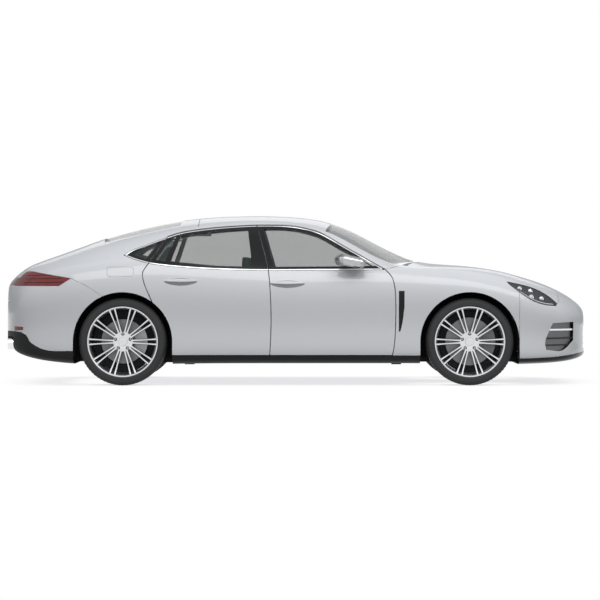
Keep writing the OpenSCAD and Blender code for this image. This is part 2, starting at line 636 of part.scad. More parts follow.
// The roof's rear edge is thin, so that the tailgate's front edge swings under it
roof_flange = 8;
roof_undercut = 30;
module roof_panel() color(paint) difference() {
    top_panel(roof_edge_shares, fixed_seam, 0, shell_t);
    at_tailgate_hinges() neck_top(fit_gap);
    intersection() {
        body_form(roof_flange, roof_flange, plain_steps);
        translate([station_x(roof_edge_shares[4][0]) - overrun, -body_width, 0])
            cube([roof_undercut, 2 * body_width, 2 * body_height]);
    }
}
module windscreen() color(glass) top_panel(screen_shares, fixed_seam, glass_inset / 2, glass_t);
cowl_drop = 38;
module cowl_panel() color(dark) difference() {
    top_panel(cowl_shares, fixed_seam, cowl_drop, 2 * glass_t);
    from_top() top_area(bonnet_shares, 3 * shut_gap);
}
module bonnet() color(paint) difference() {
    top_panel(bonnet_shares, shut_gap, 0, bonnet_t);
    at_bonnet_hinges() pocket();
}

// Tailgate with its screen and light strip
module strip_area(grow) {
    translate([-half_w, height_z(light_strip_shares[0]) - grow])
        square([body_width, height_z(light_strip_shares[1] - light_strip_shares[0]) + 2 * grow]);
}
strip_t = 14;
strip_front_s = 0.3;
module strip_space(grow) from_behind(tail_x - body_width, station_x(strip_front_s)) strip_area(grow);
module tailgate() color(paint) difference() {
    intersection() {
        body_form();
        tailgate_space(-shut_gap);
    }
    body_form(shell_t, shell_t, plain_steps);
    from_top() polygon(both_sides(top_points(rear_screen_shares)));
    at_tailgate_hinges() pocket();
    difference() {
        strip_space(fit_gap);
        body_form(strip_t + fit_gap, strip_t + fit_gap, plain_steps);
    }
}
module tailgate_glass() color(glass) top_panel(rear_screen_shares, 2 * fit_gap, glass_inset, glass_t);
module light_strip() color(red) difference() {
    intersection() {
        body_form(overrun, overrun);
        strip_space(0);
        tailgate_space(-shut_gap);
    }
    body_form(strip_t, strip_t, plain_steps);
}

// Fenders, bumpers and lamps
lamp_top = [for (i = [0 : 4]) headlamp_shares[i]];
lamp_low = [for (i = [len(headlamp_shares) - 1 : -1 : 6]) headlamp_shares[i]];
fender_shares = concat(reversed(door_front_shares),
    [[door_front_shares[0][0], 0], [bumper_seam_share, 0], [bumper_seam_share, 0.545], lamp_low[0]], lamp_top,
    [[2.74, 0.49], [2.74, above_all], [pillar_foot_shares[0], above_all], pillar_foot_shares]);
fender_front_line = side_points([[bumper_seam_share, 0], [bumper_seam_share, 0.545]]);
headlamp_line = side_points(headlamp_shares);
module fender() {
    skin(skin_t) difference() {
        intersection() {
            body_form();
            from_side() difference() {
                polygon(side_points(fender_shares));
                shut_lines();
                ribbon(fender_front_line, fixed_seam);
                loop_ribbon(headlamp_line, fixed_seam);
                polygon(headlamp_line);
                arch_holes();
                translate([tail_x, -body_height]) square([2 * wheelbase, body_height + sill_z]);
                polygon(side_points(vent_shares));
            }
        }
        cut_tops();
    }
}
module fenders() color(paint) pair() fender();
headlamp_t = 70;
module headlamp() {
    difference() {
        intersection() {
            body_form(overrun, overrun);
            from_side() difference() {
                polygon(headlamp_line);
                loop_ribbon(headlamp_line, fixed_seam);
            }
        }
        body_form(headlamp_t, headlamp_t, plain_steps);
        cut_tops();
    }
}
module headlamps() color(grey) pair() headlamp();

front_bumper_shares = concat([[bumper_seam_share, below_all], [bumper_seam_share, 0.545]],
    [for (i = [2 : len(lamp_low) - 1]) lamp_low[i]],
    [headlamp_shares[5], headlamp_shares[4], [2.74, 0.49], [2.74, above_all], [3.1, above_all], [3.1, below_all]]);
lip_line = side_points(lip_shares);
module lip_area() polygon(concat(lip_line,
    [[nose_x + body_height, -body_height], [rear_axle_x, -body_height], [rear_axle_x, lip_line[0][1]]]));
module middle_intake() from_behind(front_axle_x + arch_r, nose_x + body_width)
    translate([-width_y(grille_shares[0]), height_z(grille_shares[1])])
        square([2 * width_y(grille_shares[0]), height_z(grille_shares[2] - grille_shares[1])]);
intake_in = 60;
module side_intake() from_side(width_y(grille_shares[0]) + intake_in) polygon(side_points(intake_shares));
module front_bumper() color(paint) skin(skin_t) difference() {
    intersection() {
        body_form();
        across() difference() {
            polygon(side_points(front_bumper_shares));
            ribbon(fender_front_line, fixed_seam);
            loop_ribbon(headlamp_line, fixed_seam);
            polygon(headlamp_line);
            lip_area();
            ribbon(lip_line, fixed_seam);
        }
    }
    cut_tops();
    middle_intake();
    pair() side_intake();
}
module front_lip() color(dark) skin(skin_t) intersection() {
    body_form();
    across() difference() {
        lip_area();
        ribbon(lip_line, fixed_seam);
        ribbon(fender_front_line, fixed_seam);
        translate([tail_x, -body_height]) square([station_x(bumper_seam_share) - tail_x, 2 * body_height]);
    }
}
grille_side_shares = [[2.56, 0.19], [3.1, 0.19], [3.1, 0.378], [2.62, 0.375]];
grille_depth = 34;
grille_t = grille_depth - 2 * skin_t;
module front_grille() color(dark) {
    difference() {
        intersection() {
            body_form(skin_t + fit_gap, skin_t + fit_gap, plain_steps);
            across() difference() {
                polygon(side_points(grille_side_shares));
                ribbon(lip_line, fixed_seam);
                lip_area();
            }
        }
        body_form(grille_t, grille_t, plain_steps);
    }
}

skirt_share = 0.76;
skirt_from = width_y(skirt_share);
module side_skirts() color(dark) pair() skin(skin_t) intersection() {
    body_form();
    from_side(skirt_from) difference() {
        translate([rear_axle_x, 0]) square([wheelbase, sill_z]);
        shut_lines();
        arch_holes();
    }
}
rear_bumper_shares = concat([[1, 0.256]], bumper_top_shares,
    [tail_lamp_shares[1], [below_all, tail_lamp_shares[1][1]], [below_all, 0.313]],
    reversed(diffuser_shares), [[0.7, 0]]);
diffuser_line = side_points(diffuser_shares);
tail_lamp_line = side_points(concat([tail_lamp_shares[4]], [for (i = [0 : 2]) tail_lamp_shares[i]]));
bumper_line = side_points(bumper_top_shares);
module rear_bumper() color(paint) skin(skin_t) difference() {
    intersection() {
        body_form();
        across() difference() {
            polygon(side_points(rear_bumper_shares));
            ribbon(bumper_line, fixed_seam);
            ribbon(tail_lamp_line, fixed_seam);
            ribbon(diffuser_line, fixed_seam);
            arch_holes();
        }
    }
    tailgate_space(shut_gap);
}
module rear_diffuser() color(dark) difference() {
    skin(skin_t) intersection() {
        body_form();
        across() difference() {
            polygon(concat(diffuser_line,
                [[tail_x - body_height, -body_height], [rear_axle_x, -body_height], [rear_axle_x, diffuser_line[0][1]]]));
            ribbon(diffuser_line, fixed_seam);
            arch_holes();
        }
    }
    tip_cutouts();
}
tail_lamp_t = 60;
module tail_lamps() color(red) pair() difference() {
    intersection() {
        body_form(overrun, overrun);
        from_side() difference() {
            polygon(side_points(tail_lamp_shares));
            loop_ribbon(side_points(tail_lamp_shares), fixed_seam);
        }
    }
    body_form(tail_lamp_t, tail_lamp_t, plain_steps);
    tailgate_space(shut_gap);
}
tip_r = 48;
tip_l = 230;
tip_z_share = 0.24;
tip_y_shares = [0.56, 0.68];
tip_in = 50;
tip_x = tail_x + tip_in;
tip_wall = 3;
module exhaust_tips() for (side = [-1, 1]) for (s = tip_y_shares)
    translate([tip_x, side * width_y(s), height_z(tip_z_share)]) rotate([0, 90, 0]) cylinder(r = tip_r, h = tip_l);
// Openings of the diffuser that the tips look out of
module tip_cutouts() pair() translate([tail_x - tip_l, width_y(tip_y_shares[0]) - tip_r - shut_gap, 0])
    cube([2 * tip_l, width_y(tip_y_shares[1] - tip_y_shares[0]) + 2 * tip_r + 2 * shut_gap,
        height_z(tip_z_share) + tip_r + shut_gap]);

// Exhaust: a silencer behind the bumper with two pairs of round tips
silencer_l = 190;
silencer_h = 130;
silencer_w_share = 0.74;
hanger_d = 18;
boot_share = 0.36;
boot_z = height_z(boot_share);
module exhaust() color(bright) {
    difference() {
        exhaust_tips();
        for (side = [-1, 1]) for (s = tip_y_shares)
            translate([tip_x - overrun, side * width_y(s), height_z(tip_z_share)]) rotate([0, 90, 0])
                cylinder(r = tip_r - tip_wall, h = tip_l - 2 * tip_wall);
    }
    translate([tip_x + tip_l - overrun, -width_y(silencer_w_share), height_z(tip_z_share) - silencer_h / 2])
        cube([silencer_l, 2 * width_y(silencer_w_share), silencer_h]);
    for (side = [-1, 1]) translate([tip_x + tip_l + silencer_l / 2, side * rear_well_y / 2, height_z(tip_z_share)])
        cylinder(d = hanger_d, h = boot_z - fit_gap - height_z(tip_z_share));
}

// Floor with tunnel, bulkheads and boot floor
floor_half = skirt_from - fit_gap;
well_room = 24;
well_run = arch_r + well_room;
jack_shares = [1.79, 1.19];
jack_l = 80;
jack_w = 60;
jack_h = 12;
jack_in = 10;
jack_y = floor_half - jack_in - jack_w / 2;
plate_t = 20;
tunnel_share = 0.2066;
tunnel_w = width_y(tunnel_share);
tunnel_h = 190;
rail_w = 60;
rail_h = 110;
firewall_share = [1.815, 0.62];
firewall_w_share = 0.76;
firewall_x = station_x(firewall_share[0]);
firewall_top = height_z(firewall_share[1]);
seat_bulkhead_s = 1.03;
boot_end_s = 0.16;
module floor_pan() color(grey) {
    half = [[rear_axle_x - beam_l, 0], [rear_axle_x - beam_l, rear_well_y], [rear_axle_x + well_run, rear_well_y],
        [rear_axle_x + well_run, floor_half], [front_axle_x - well_run, floor_half],
        [front_axle_x - well_run, front_well_y], [front_axle_x + well_run, front_well_y],
        [front_axle_x + well_run, 0]];
    cabin_l = wheelbase - 2 * well_run;
    boot_l = station_x(seat_bulkhead_s) - station_x(boot_end_s);
    translate([0, 0, floor_edge_z]) linear_extrude(floor_t - fit_gap) polygon(both_sides(half));
    translate([rear_axle_x + well_run, -tunnel_w / 2, floor_top - overrun]) cube([cabin_l, tunnel_w, tunnel_h]);
    pair() translate([rear_axle_x + well_run, width_y(post_in_shares[0]) - fit_gap - rail_w, floor_top - overrun])
        cube([cabin_l, rail_w, rail_h]);
    translate([firewall_x, -width_y(firewall_w_share), floor_top - overrun])
        cube([plate_t, 2 * width_y(firewall_w_share), firewall_top - floor_top + overrun]);
    translate([station_x(seat_bulkhead_s), -rear_well_y, floor_top - overrun])
        cube([plate_t, 2 * rear_well_y, boot_z - floor_top + overrun + plate_t]);
    translate([station_x(boot_end_s), -rear_well_y, boot_z]) cube([boot_l + overrun, 2 * rear_well_y, plate_t]);
    pair() for (s = jack_shares) translate([station_x(s) - jack_l / 2, jack_y - jack_w / 2, floor_edge_z - jack_h])
        cube([jack_l, jack_w, jack_h + overrun]);
}
floor_edge_z = floor_z + skin_t + fit_gap;

// Linings of the wheel wells
lining_t = 4;
lining_arcs = 10;
function arc_points(x, r) = concat([[x + r, floor_edge_z + lining_t]],
    [for (i = [0 : lining_arcs]) [x + r * cos(180 * i / lining_arcs), arch_z + r * sin(180 * i / lining_arcs)]],
    [[x - r, floor_edge_z + lining_t]]);
module lining(x, r, from, depth) intersection() {
    body_form(depth, depth, plain_steps);
    from_side(from) ribbon(arc_points(x, r), lining_t);
}
front_lining_room = 20;
rear_lining_room = 10;
front_lining_r = arch_r + front_lining_room;
rear_lining_r = arch_r + rear_lining_room;
module wheel_linings() color(dark) pair() {
    difference() {
        lining(front_axle_x, front_lining_r, front_well_y, skin_t + fit_gap);
        difference() {
            from_top() top_area(bonnet_shares, shut_gap);
            body_form(bonnet_t + shut_gap, bonnet_t + shut_gap, plain_steps);
        }
    }
    lining(rear_axle_x, rear_lining_r, rear_well_y, side_t + fit_gap);
}

// Running gear: local axis outward from the car's middle
rim_r = rim_d / 2;
rim_lip = 10;
rim_flange = 18;
barrel_t = 10;
seat_r = rim_r - rim_flange;
barrel_in_r = seat_r - barrel_t;
rim_edge = 14;
spoke_t = 30;
dish_depth = 44;
hub_r = 84;
cap_r = 36;
cap_t = 6;
bolt_circle_r = 65;
bolt_r = 11;
bolts = 5;
spoke_w = 15;
spoke_root_share = 0.6;
spoke_spread = 21;
disc_out = 20;
spindle_r = 32;
hat_r = 92;
hat_t = 8;
hat_run = 14;
wheel_back = disc_out + hat_run;
caliper_over = 16;
caliper_w = 32;
caliper_angle = 62;
caliper_in_share = 0.56;
caliper_play = 3;
bracket_share = 0.7;
kingpin_in = 60;
kingpin_r = 14;
sleeve_r = 34;
hub_play = 5;
knuckle_r = min(hat_r - 2 * hat_t, kingpin_l / 2 - hub_play);
module outward(x, y) translate([x, y, tyre_r]) rotate([-90, 0, 0]) children();

module wheel(w) {
    hw = w / 2 - rim_edge;
    difference() {
        union() {
            rotate_extrude() polygon([[barrel_in_r, -hw], [rim_r, -hw], [rim_r, -hw + rim_lip],
                [seat_r, -hw + rim_lip], [seat_r, hw - rim_lip], [rim_r, hw - rim_lip], [rim_r, hw], [barrel_in_r, hw]]);
            intersection() {
                rotate_extrude() polygon([[0, hw - dish_depth - spoke_t], [hub_r, hw - dish_depth - spoke_t],
                    [barrel_in_r + overrun, hw - spoke_t - rim_lip], [barrel_in_r + overrun, hw - rim_lip],
                    [hub_r, hw - dish_depth], [0, hw - dish_depth]]);
                linear_extrude(w) spokes();
            }
            translate([0, 0, wheel_back]) cylinder(r = hub_r, h = hw - dish_depth - wheel_back);
            translate([0, 0, hw - dish_depth - overrun]) cylinder(r = cap_r, h = cap_t + overrun);
        }
        for (i = [0 : bolts - 1]) rotate(90 + i * 360 / bolts)
            translate([bolt_circle_r, 0, wheel_back + spoke_t / 2]) cylinder(r = bolt_r, h = w);
    }
}
module spokes() {
    circle(hub_r);
    for (i = [0 : spoke_pairs - 1]) rotate(i * 360 / spoke_pairs)
        for (side = [-1, 1]) polygon([
            [hub_r / 2, side * spoke_w * spoke_root_share - spoke_w / 2],
            [barrel_in_r + overrun / 2, side * spoke_spread - spoke_w / 2],
            [barrel_in_r + overrun / 2, side * spoke_spread + spoke_w / 2],
            [hub_r / 2, side * spoke_w * spoke_root_share + spoke_w / 2]]);
}
shoulder = 48;
tread_drop = 8;
module tyre(w) {
    hw = w / 2 - rim_edge;
    half = [[seat_r + fit_gap, hw - rim_lip - fit_gap], [rim_r + fit_gap, hw - rim_lip - fit_gap],
        [rim_r + fit_gap, w / 2 - rim_edge / 2], [rim_r + rim_edge, w / 2 - overrun], [(rim_r + tyre_r) / 2, w / 2], [tyre_r - 2 * rim_edge, w / 2 - rim_edge / 2],
        [tyre_r - tread_drop, w / 2 - shoulder / 2], [tyre_r, w / 2 - shoulder]];
    rotate_extrude() polygon(concat(half, [for (p = reversed(half)) [p[0], -p[1]]]));
}
module brake_disc(d) {
    rotate_extrude() polygon([[spindle_r + pin_clearance, disc_out], [hat_r - hat_t, disc_out],
        [hat_r - hat_t, -disc_t / 2], [d / 2, -disc_t / 2], [d / 2, disc_t / 2], [hat_r, disc_t / 2],
        [hat_r, wheel_back - fit_gap], [spindle_r + pin_clearance, wheel_back - fit_gap]]);
}
// Caliper round the disc's edge, in the wheel's local axes, centred on angle a
module caliper(d, a) {
    inner = d / 2 * caliper_in_share;
    outer = d / 2 + caliper_over;
    gap = disc_t / 2 + caliper_play;
    over = d / 2 + caliper_play;
    rotate(a - caliper_angle / 2) rotate_extrude(angle = caliper_angle)
        polygon([[inner, -gap - caliper_w], [outer, -gap - caliper_w], [outer, gap + caliper_w / 2],
            [inner, gap + caliper_w / 2], [inner, gap], [over, gap], [over, -gap], [inner, -gap]]);
}
module front_knuckle() {
    difference() {
        union() {
            translate([front_axle_x, front_wheel_y - kingpin_in, tyre_r]) cylinder(r = sleeve_r, h = kingpin_l - 2 * overrun, center = true);
            outward(front_axle_x, front_wheel_y) {
                translate([0, 0, -kingpin_in]) cylinder(r = spindle_r, h = kingpin_in + wheel_back - 3 * overrun);
                translate([0, 0, -kingpin_in]) cylinder(r = knuckle_r, h = kingpin_in - disc_t / 2 - 2 * overrun);
                caliper(front_disc_d, 0);
                translate([0, -sleeve_r, -kingpin_in - overrun]) cube([front_disc_d / 2 * bracket_share, 2 * sleeve_r, kingpin_in - disc_t / 2 - hat_t]);
            }
        }
        translate([front_axle_x, front_wheel_y - kingpin_in, tyre_r]) cylinder(r = kingpin_r + pin_clearance, h = kingpin_l, center = true);
    }
}
beam_l = 150;
beam_h = 80;
arm_h = 30;
arm_x = 70;
arm_wall = 5;
arm_end_y = front_wheel_y - kingpin_in + kingpin_r + arm_wall;
module front_subframe() color(grey) {
    translate([front_axle_x - beam_l / 2, -front_well_y, floor_top + fit_gap]) cube([beam_l, 2 * front_well_y, beam_h]);
    pair() {
        for (z = [-kingpin_l / 2 - arm_h, kingpin_l / 2])
            translate([front_axle_x - arm_x / 2, front_well_y - arm_x, tyre_r + z])
                cube([arm_x, arm_end_y - front_well_y + arm_x, arm_h]);
        translate([front_axle_x - arm_x / 2, front_well_y - arm_x, floor_top + fit_gap]) cube([arm_x, arm_x, tyre_r + kingpin_l / 2 + arm_h - floor_top - fit_gap]);
        translate([front_axle_x, front_wheel_y - kingpin_in, tyre_r]) cylinder(r = kingpin_r, h = kingpin_l + 2 * overrun, center = true);
    }
}
module rear_subframe() color(grey) {
    translate([rear_axle_x - beam_l / 2, -rear_well_y, floor_top + fit_gap]) cube([beam_l, 2 * rear_well_y, tyre_r - floor_top + sleeve_r]);
    pair() outward(rear_axle_x, rear_wheel_y) {
        translate([0, 0, rear_well_y - rear_wheel_y - overrun]) cylinder(r = spindle_r, h = rear_wheel_y - rear_well_y + overrun + wheel_back - 3 * overrun);
        translate([0, 0, rear_well_y - rear_wheel_y - overrun]) cylinder(r = hat_r - 2 * hat_t, h = rear_wheel_y - rear_well_y - disc_t / 2 - overrun);
        caliper(rear_disc_d, 0);
        translate([0, -sleeve_r, -disc_t / 2 - caliper_w]) cube([rear_disc_d / 2 * bracket_share, 2 * sleeve_r, caliper_w / 2]);
    }
}
module knuckle_front_left() color(grey) front_knuckle();
module knuckle_front_right() color(grey) mirror([0, 1, 0]) front_knuckle();
module wheel_front_left() color(bright) outward(front_axle_x, front_wheel_y) wheel(front_tyre_w);
module wheel_front_right() color(bright) mirror([0, 1, 0]) outward(front_axle_x, front_wheel_y) wheel(front_tyre_w);
module wheel_rear_left() color(bright) outward(rear_axle_x, rear_wheel_y) wheel(rear_tyre_w);
module wheel_rear_right() color(bright) mirror([0, 1, 0]) outward(rear_axle_x, rear_wheel_y) wheel(rear_tyre_w);
module tyre_front_left() color(rubber) outward(front_axle_x, front_wheel_y) tyre(front_tyre_w);
module tyre_front_right() color(rubber) mirror([0, 1, 0]) outward(front_axle_x, front_wheel_y) tyre(front_tyre_w);
module tyre_rear_left() color(rubber) outward(rear_axle_x, rear_wheel_y) tyre(rear_tyre_w);
module tyre_rear_right() color(rubber) mirror([0, 1, 0]) outward(rear_axle_x, rear_wheel_y) tyre(rear_tyre_w);
module disc_front_left() color(grey) outward(front_axle_x, front_wheel_y) brake_disc(front_disc_d);
module disc_front_right() color(grey) mirror([0, 1, 0]) outward(front_axle_x, front_wheel_y) brake_disc(front_disc_d);
module disc_rear_left() color(grey) outward(rear_axle_x, rear_wheel_y) brake_disc(rear_disc_d);
module disc_rear_right() color(grey) mirror([0, 1, 0]) outward(rear_axle_x, rear_wheel_y) brake_disc(rear_disc_d);

// Engine, seats, dashboard
engine_l = 620;
engine_w = 600;
engine_h = 470;
module engine_block() color(grey)
    translate([front_axle_x - engine_l / 2 - beam_l / 2, -engine_w / 2, floor_top + 2 * fit_gap + beam_h]) cube([engine_l, engine_w, engine_h]);

seat_w_share = 0.4855;
seat_w = width_y(seat_w_share);
seat_room = 11;
front_seat_s = 1.46;
rear_seat_s = 1.175;
front_seat_y_share = 0.382;
front_seat_y = width_y(front_seat_y_share);
rear_seat_w = rear_well_y - tunnel_w / 2 - 2 * seat_room;
rear_seat_y = tunnel_w / 2 + seat_room + rear_seat_w / 2;
seat_base_h = 120;
seat_shares = [[-0.5, 0], [0.5, 0], [0.52, 0.24], [0.46, 0.28], [-0.22, 0.2], [-0.42, 0.78], [-0.47, 0.8], [-0.48, 0.9],
    [-0.5, 1], [-0.6, 1], [-0.64, 0.9], [-0.58, 0.8], [-0.66, 0.3]];
seat_l = 560;
front_seat_h = 850;
rear_seat_h = 760;
module seat(x, y, w, h) translate([x, y + w / 2, floor_top + fit_gap]) rotate([90, 0, 0]) linear_extrude(w)
    polygon([for (p = seat_shares) [p[0] * seat_l, p[1] * h]]);
module front_seats() color(leather) pair() seat(station_x(front_seat_s), front_seat_y, seat_w, front_seat_h);
module rear_seats() color(leather) pair() seat(station_x(rear_seat_s), rear_seat_y, rear_seat_w, rear_seat_h);
dash_shares = [[1.735, 0.42], [1.83, 0.42], [1.83, 0.62], [1.775, 0.655], [1.735, 0.655], [1.715, 0.63], [1.72, 0.52]];
dash_w_share = 0.72;
dash_half = width_y(dash_w_share);
wheel_ring_r = 178;
wheel_ring_t = 15;
steer_share = [1.655, 0.56];
steer_tilt = -65;
column_l = (station_x(dash_shares[0][0]) - station_x(steer_share[0])) / sin(-steer_tilt);
column_r = 32;
module dashboard() color(dark) {
    difference() {
        translate([0, dash_half, 0]) rotate([90, 0, 0]) linear_extrude(2 * dash_half) polygon(side_points(dash_shares));
        translate([firewall_x - fit_gap, -dash_half - overrun, 0]) cube([front_overhang, 2 * dash_half + 2 * overrun, body_height]);
    }
    translate([station_x(steer_share[0]), front_seat_y, height_z(steer_share[1])]) rotate([0, steer_tilt, 0]) {
        rotate_extrude() translate([wheel_ring_r, 0]) circle(wheel_ring_t);
        for (a = [90, 210, 330]) rotate(a) translate([0, -wheel_ring_t, -wheel_ring_t / 2]) cube([wheel_ring_r, 2 * wheel_ring_t, wheel_ring_t]);
        translate([0, 0, -column_l]) cylinder(r = column_r, h = column_l);
    }
}

// Door mirrors
mirror_shares = [[1.635, 1.035, 0.735], [1.685, 1.03, 0.715], [1.64, 0.965, 0.73], [1.685, 0.96, 0.712]];
mirror_rs = [48, 42, 46, 40];
mirror_foot_share = [1.69, 0.64];
mirror_foot_r = 24;
mirror_sides = 12;
module door_mirror() difference() {
    union() {
        hull() for (i = [0 : len(mirror_rs) - 1]) translate([station_x(mirror_shares[i][0]), width_y(mirror_shares[i][1]), height_z(mirror_shares[i][2])])
            sphere(mirror_rs[i], $fn = mirror_sides);
        hull() {
            translate([station_x(mirror_shares[3][0]), width_y(mirror_shares[3][1]), height_z(mirror_shares[3][2])]) sphere(mirror_foot_r, $fn = handle_sides);
            translate([station_x(mirror_foot_share[0]), skin_y(station_x(mirror_foot_share[0]), height_z(mirror_foot_share[1])), height_z(mirror_foot_share[1])])
                sphere(mirror_foot_r, $fn = handle_sides);
        }
    }
    body_form(-fit_gap, -fit_gap);
    from_side() ribbon(doors_line, shut_gap);
}
module mirror_left() color(paint) door_mirror();
module mirror_right() color(paint) mirror([0, 1, 0]) door_mirror();

floor_pan();
body_sides();
quarter_glass();
roof_panel();
windscreen();
cowl_panel();
fenders();
front_bumper();
front_grille();
front_lip();
headlamps();
side_skirts();
rear_bumper();
rear_diffuser();
tail_lamps();
exhaust();
wheel_linings();
front_subframe();
rear_subframe();
engine_block();
front_seats();
rear_seats();
dashboard();
door_hinge_forks();
lid_hinge_forks();
bonnet();
bonnet_hinges();
tailgate();
tailgate_hinges();
tailgate_glass();
light_strip();
door_front_left();
door_front_right();
door_rear_left();
door_rear_right();
glass_front_left();
glass_front_right();
glass_rear_left();
glass_rear_right();
hinges_front_left();
hinges_front_right();
hinges_rear_left();
hinges_rear_right();
mirror_left();
mirror_right();
knuckle_front_left();
knuckle_front_right();
wheel_front_left();
wheel_front_right();
wheel_rear_left();
wheel_rear_right();
tyre_front_left();
tyre_front_right();
tyre_rear_left();
tyre_rear_right();
disc_front_left();
disc_front_right();
disc_rear_left();
disc_rear_right();
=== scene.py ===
"""Looks of a low five-door sports sedan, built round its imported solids.

The outside is one smooth form, lofted through cross sections.  Each panel is a piece of that form,
cut to outlines drawn in side, top or rear view, so that it keeps the place and shape of its solid.
"""
from __future__ import annotations

import json
import logging
import math
import sys
from dataclasses import dataclass
from enum import Enum
from typing import Any, Iterable, Sequence

import bmesh
import bpy
import numpy as np
from mathutils import Matrix, Vector

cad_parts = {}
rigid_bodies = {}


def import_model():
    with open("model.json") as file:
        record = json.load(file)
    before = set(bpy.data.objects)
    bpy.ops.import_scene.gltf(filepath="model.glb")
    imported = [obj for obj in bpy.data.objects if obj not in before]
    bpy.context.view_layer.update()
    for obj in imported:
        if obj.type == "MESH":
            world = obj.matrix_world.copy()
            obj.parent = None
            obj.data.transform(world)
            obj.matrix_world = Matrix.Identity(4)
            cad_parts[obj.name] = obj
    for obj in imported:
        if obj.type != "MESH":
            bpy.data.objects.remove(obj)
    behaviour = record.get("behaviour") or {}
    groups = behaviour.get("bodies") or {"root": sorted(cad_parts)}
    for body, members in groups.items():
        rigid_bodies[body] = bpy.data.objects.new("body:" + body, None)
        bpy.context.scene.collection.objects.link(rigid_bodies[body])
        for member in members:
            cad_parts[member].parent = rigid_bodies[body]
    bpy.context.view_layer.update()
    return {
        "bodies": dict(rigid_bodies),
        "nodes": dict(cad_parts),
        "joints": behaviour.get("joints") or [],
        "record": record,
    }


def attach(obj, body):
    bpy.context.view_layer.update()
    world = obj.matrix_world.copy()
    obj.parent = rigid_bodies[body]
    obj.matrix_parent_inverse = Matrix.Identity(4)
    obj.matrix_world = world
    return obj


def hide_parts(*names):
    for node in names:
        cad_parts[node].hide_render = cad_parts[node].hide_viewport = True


LOG = logging.getLogger("sedan")
Point = tuple[float, float]
Colour = tuple[float, float, float]
Spot = tuple[float, float, float]
Object = bpy.types.Object
Material = bpy.types.Material
Piece = tuple[Any, ...]
WIDE = 2.0
SHARP = math.radians(32)


class Side(Enum):
    """The car's two sides, as seen from the driver's seat."""

    LEFT = 1
    RIGHT = -1

    @property
    def word(self) -> str:
        """Name of the side as the frame's nodes have it."""
        return self.name.lower()


class Plane(Enum):
    """View in which an outline is drawn."""

    SIDE = "side"
    TOP = "top"
    REAR = "rear"


class Cut(Enum):
    """Ways to combine two solids."""

    KEEP = "INTERSECT"
    REMOVE = "DIFFERENCE"
    JOIN = "UNION"


# Shaders


class Term:
    """A shader socket that takes part in arithmetic."""

    def __init__(self, graph: "Graph", socket: Any) -> None:
        """Wrap one socket of a graph.

        Args:
            graph: graph that owns the socket.
            socket: output socket.
        """
        self.graph = graph
        self.socket = socket

    def _math(self, operation: str, first: Any, second: Any = 0.0) -> "Term":
        """Add one Math node."""
        node = self.graph.node("ShaderNodeMath", {"operation": operation}, {0: first, 1: second})
        return Term(self.graph, node.outputs[0])

    def __add__(self, other: Any) -> "Term":
        """Sum."""
        return self._math("ADD", self, other)

    def __radd__(self, other: Any) -> "Term":
        """Sum with a plain number first."""
        return self._math("ADD", other, self)

    def __sub__(self, other: Any) -> "Term":
        """Difference."""
        return self._math("SUBTRACT", self, other)

    def __rsub__(self, other: Any) -> "Term":
        """Difference from a plain number."""
        return self._math("SUBTRACT", other, self)

    def __mul__(self, other: Any) -> "Term":
        """Product."""
        return self._math("MULTIPLY", self, other)

    def __rmul__(self, other: Any) -> "Term":
        """Product with a plain number first."""
        return self._math("MULTIPLY", other, self)

    def call(self, operation: str, other: Any = 0.0) -> "Term":
        """Any other Math operation, such as SINE or ABSOLUTE."""
        return self._math(operation, self, other)


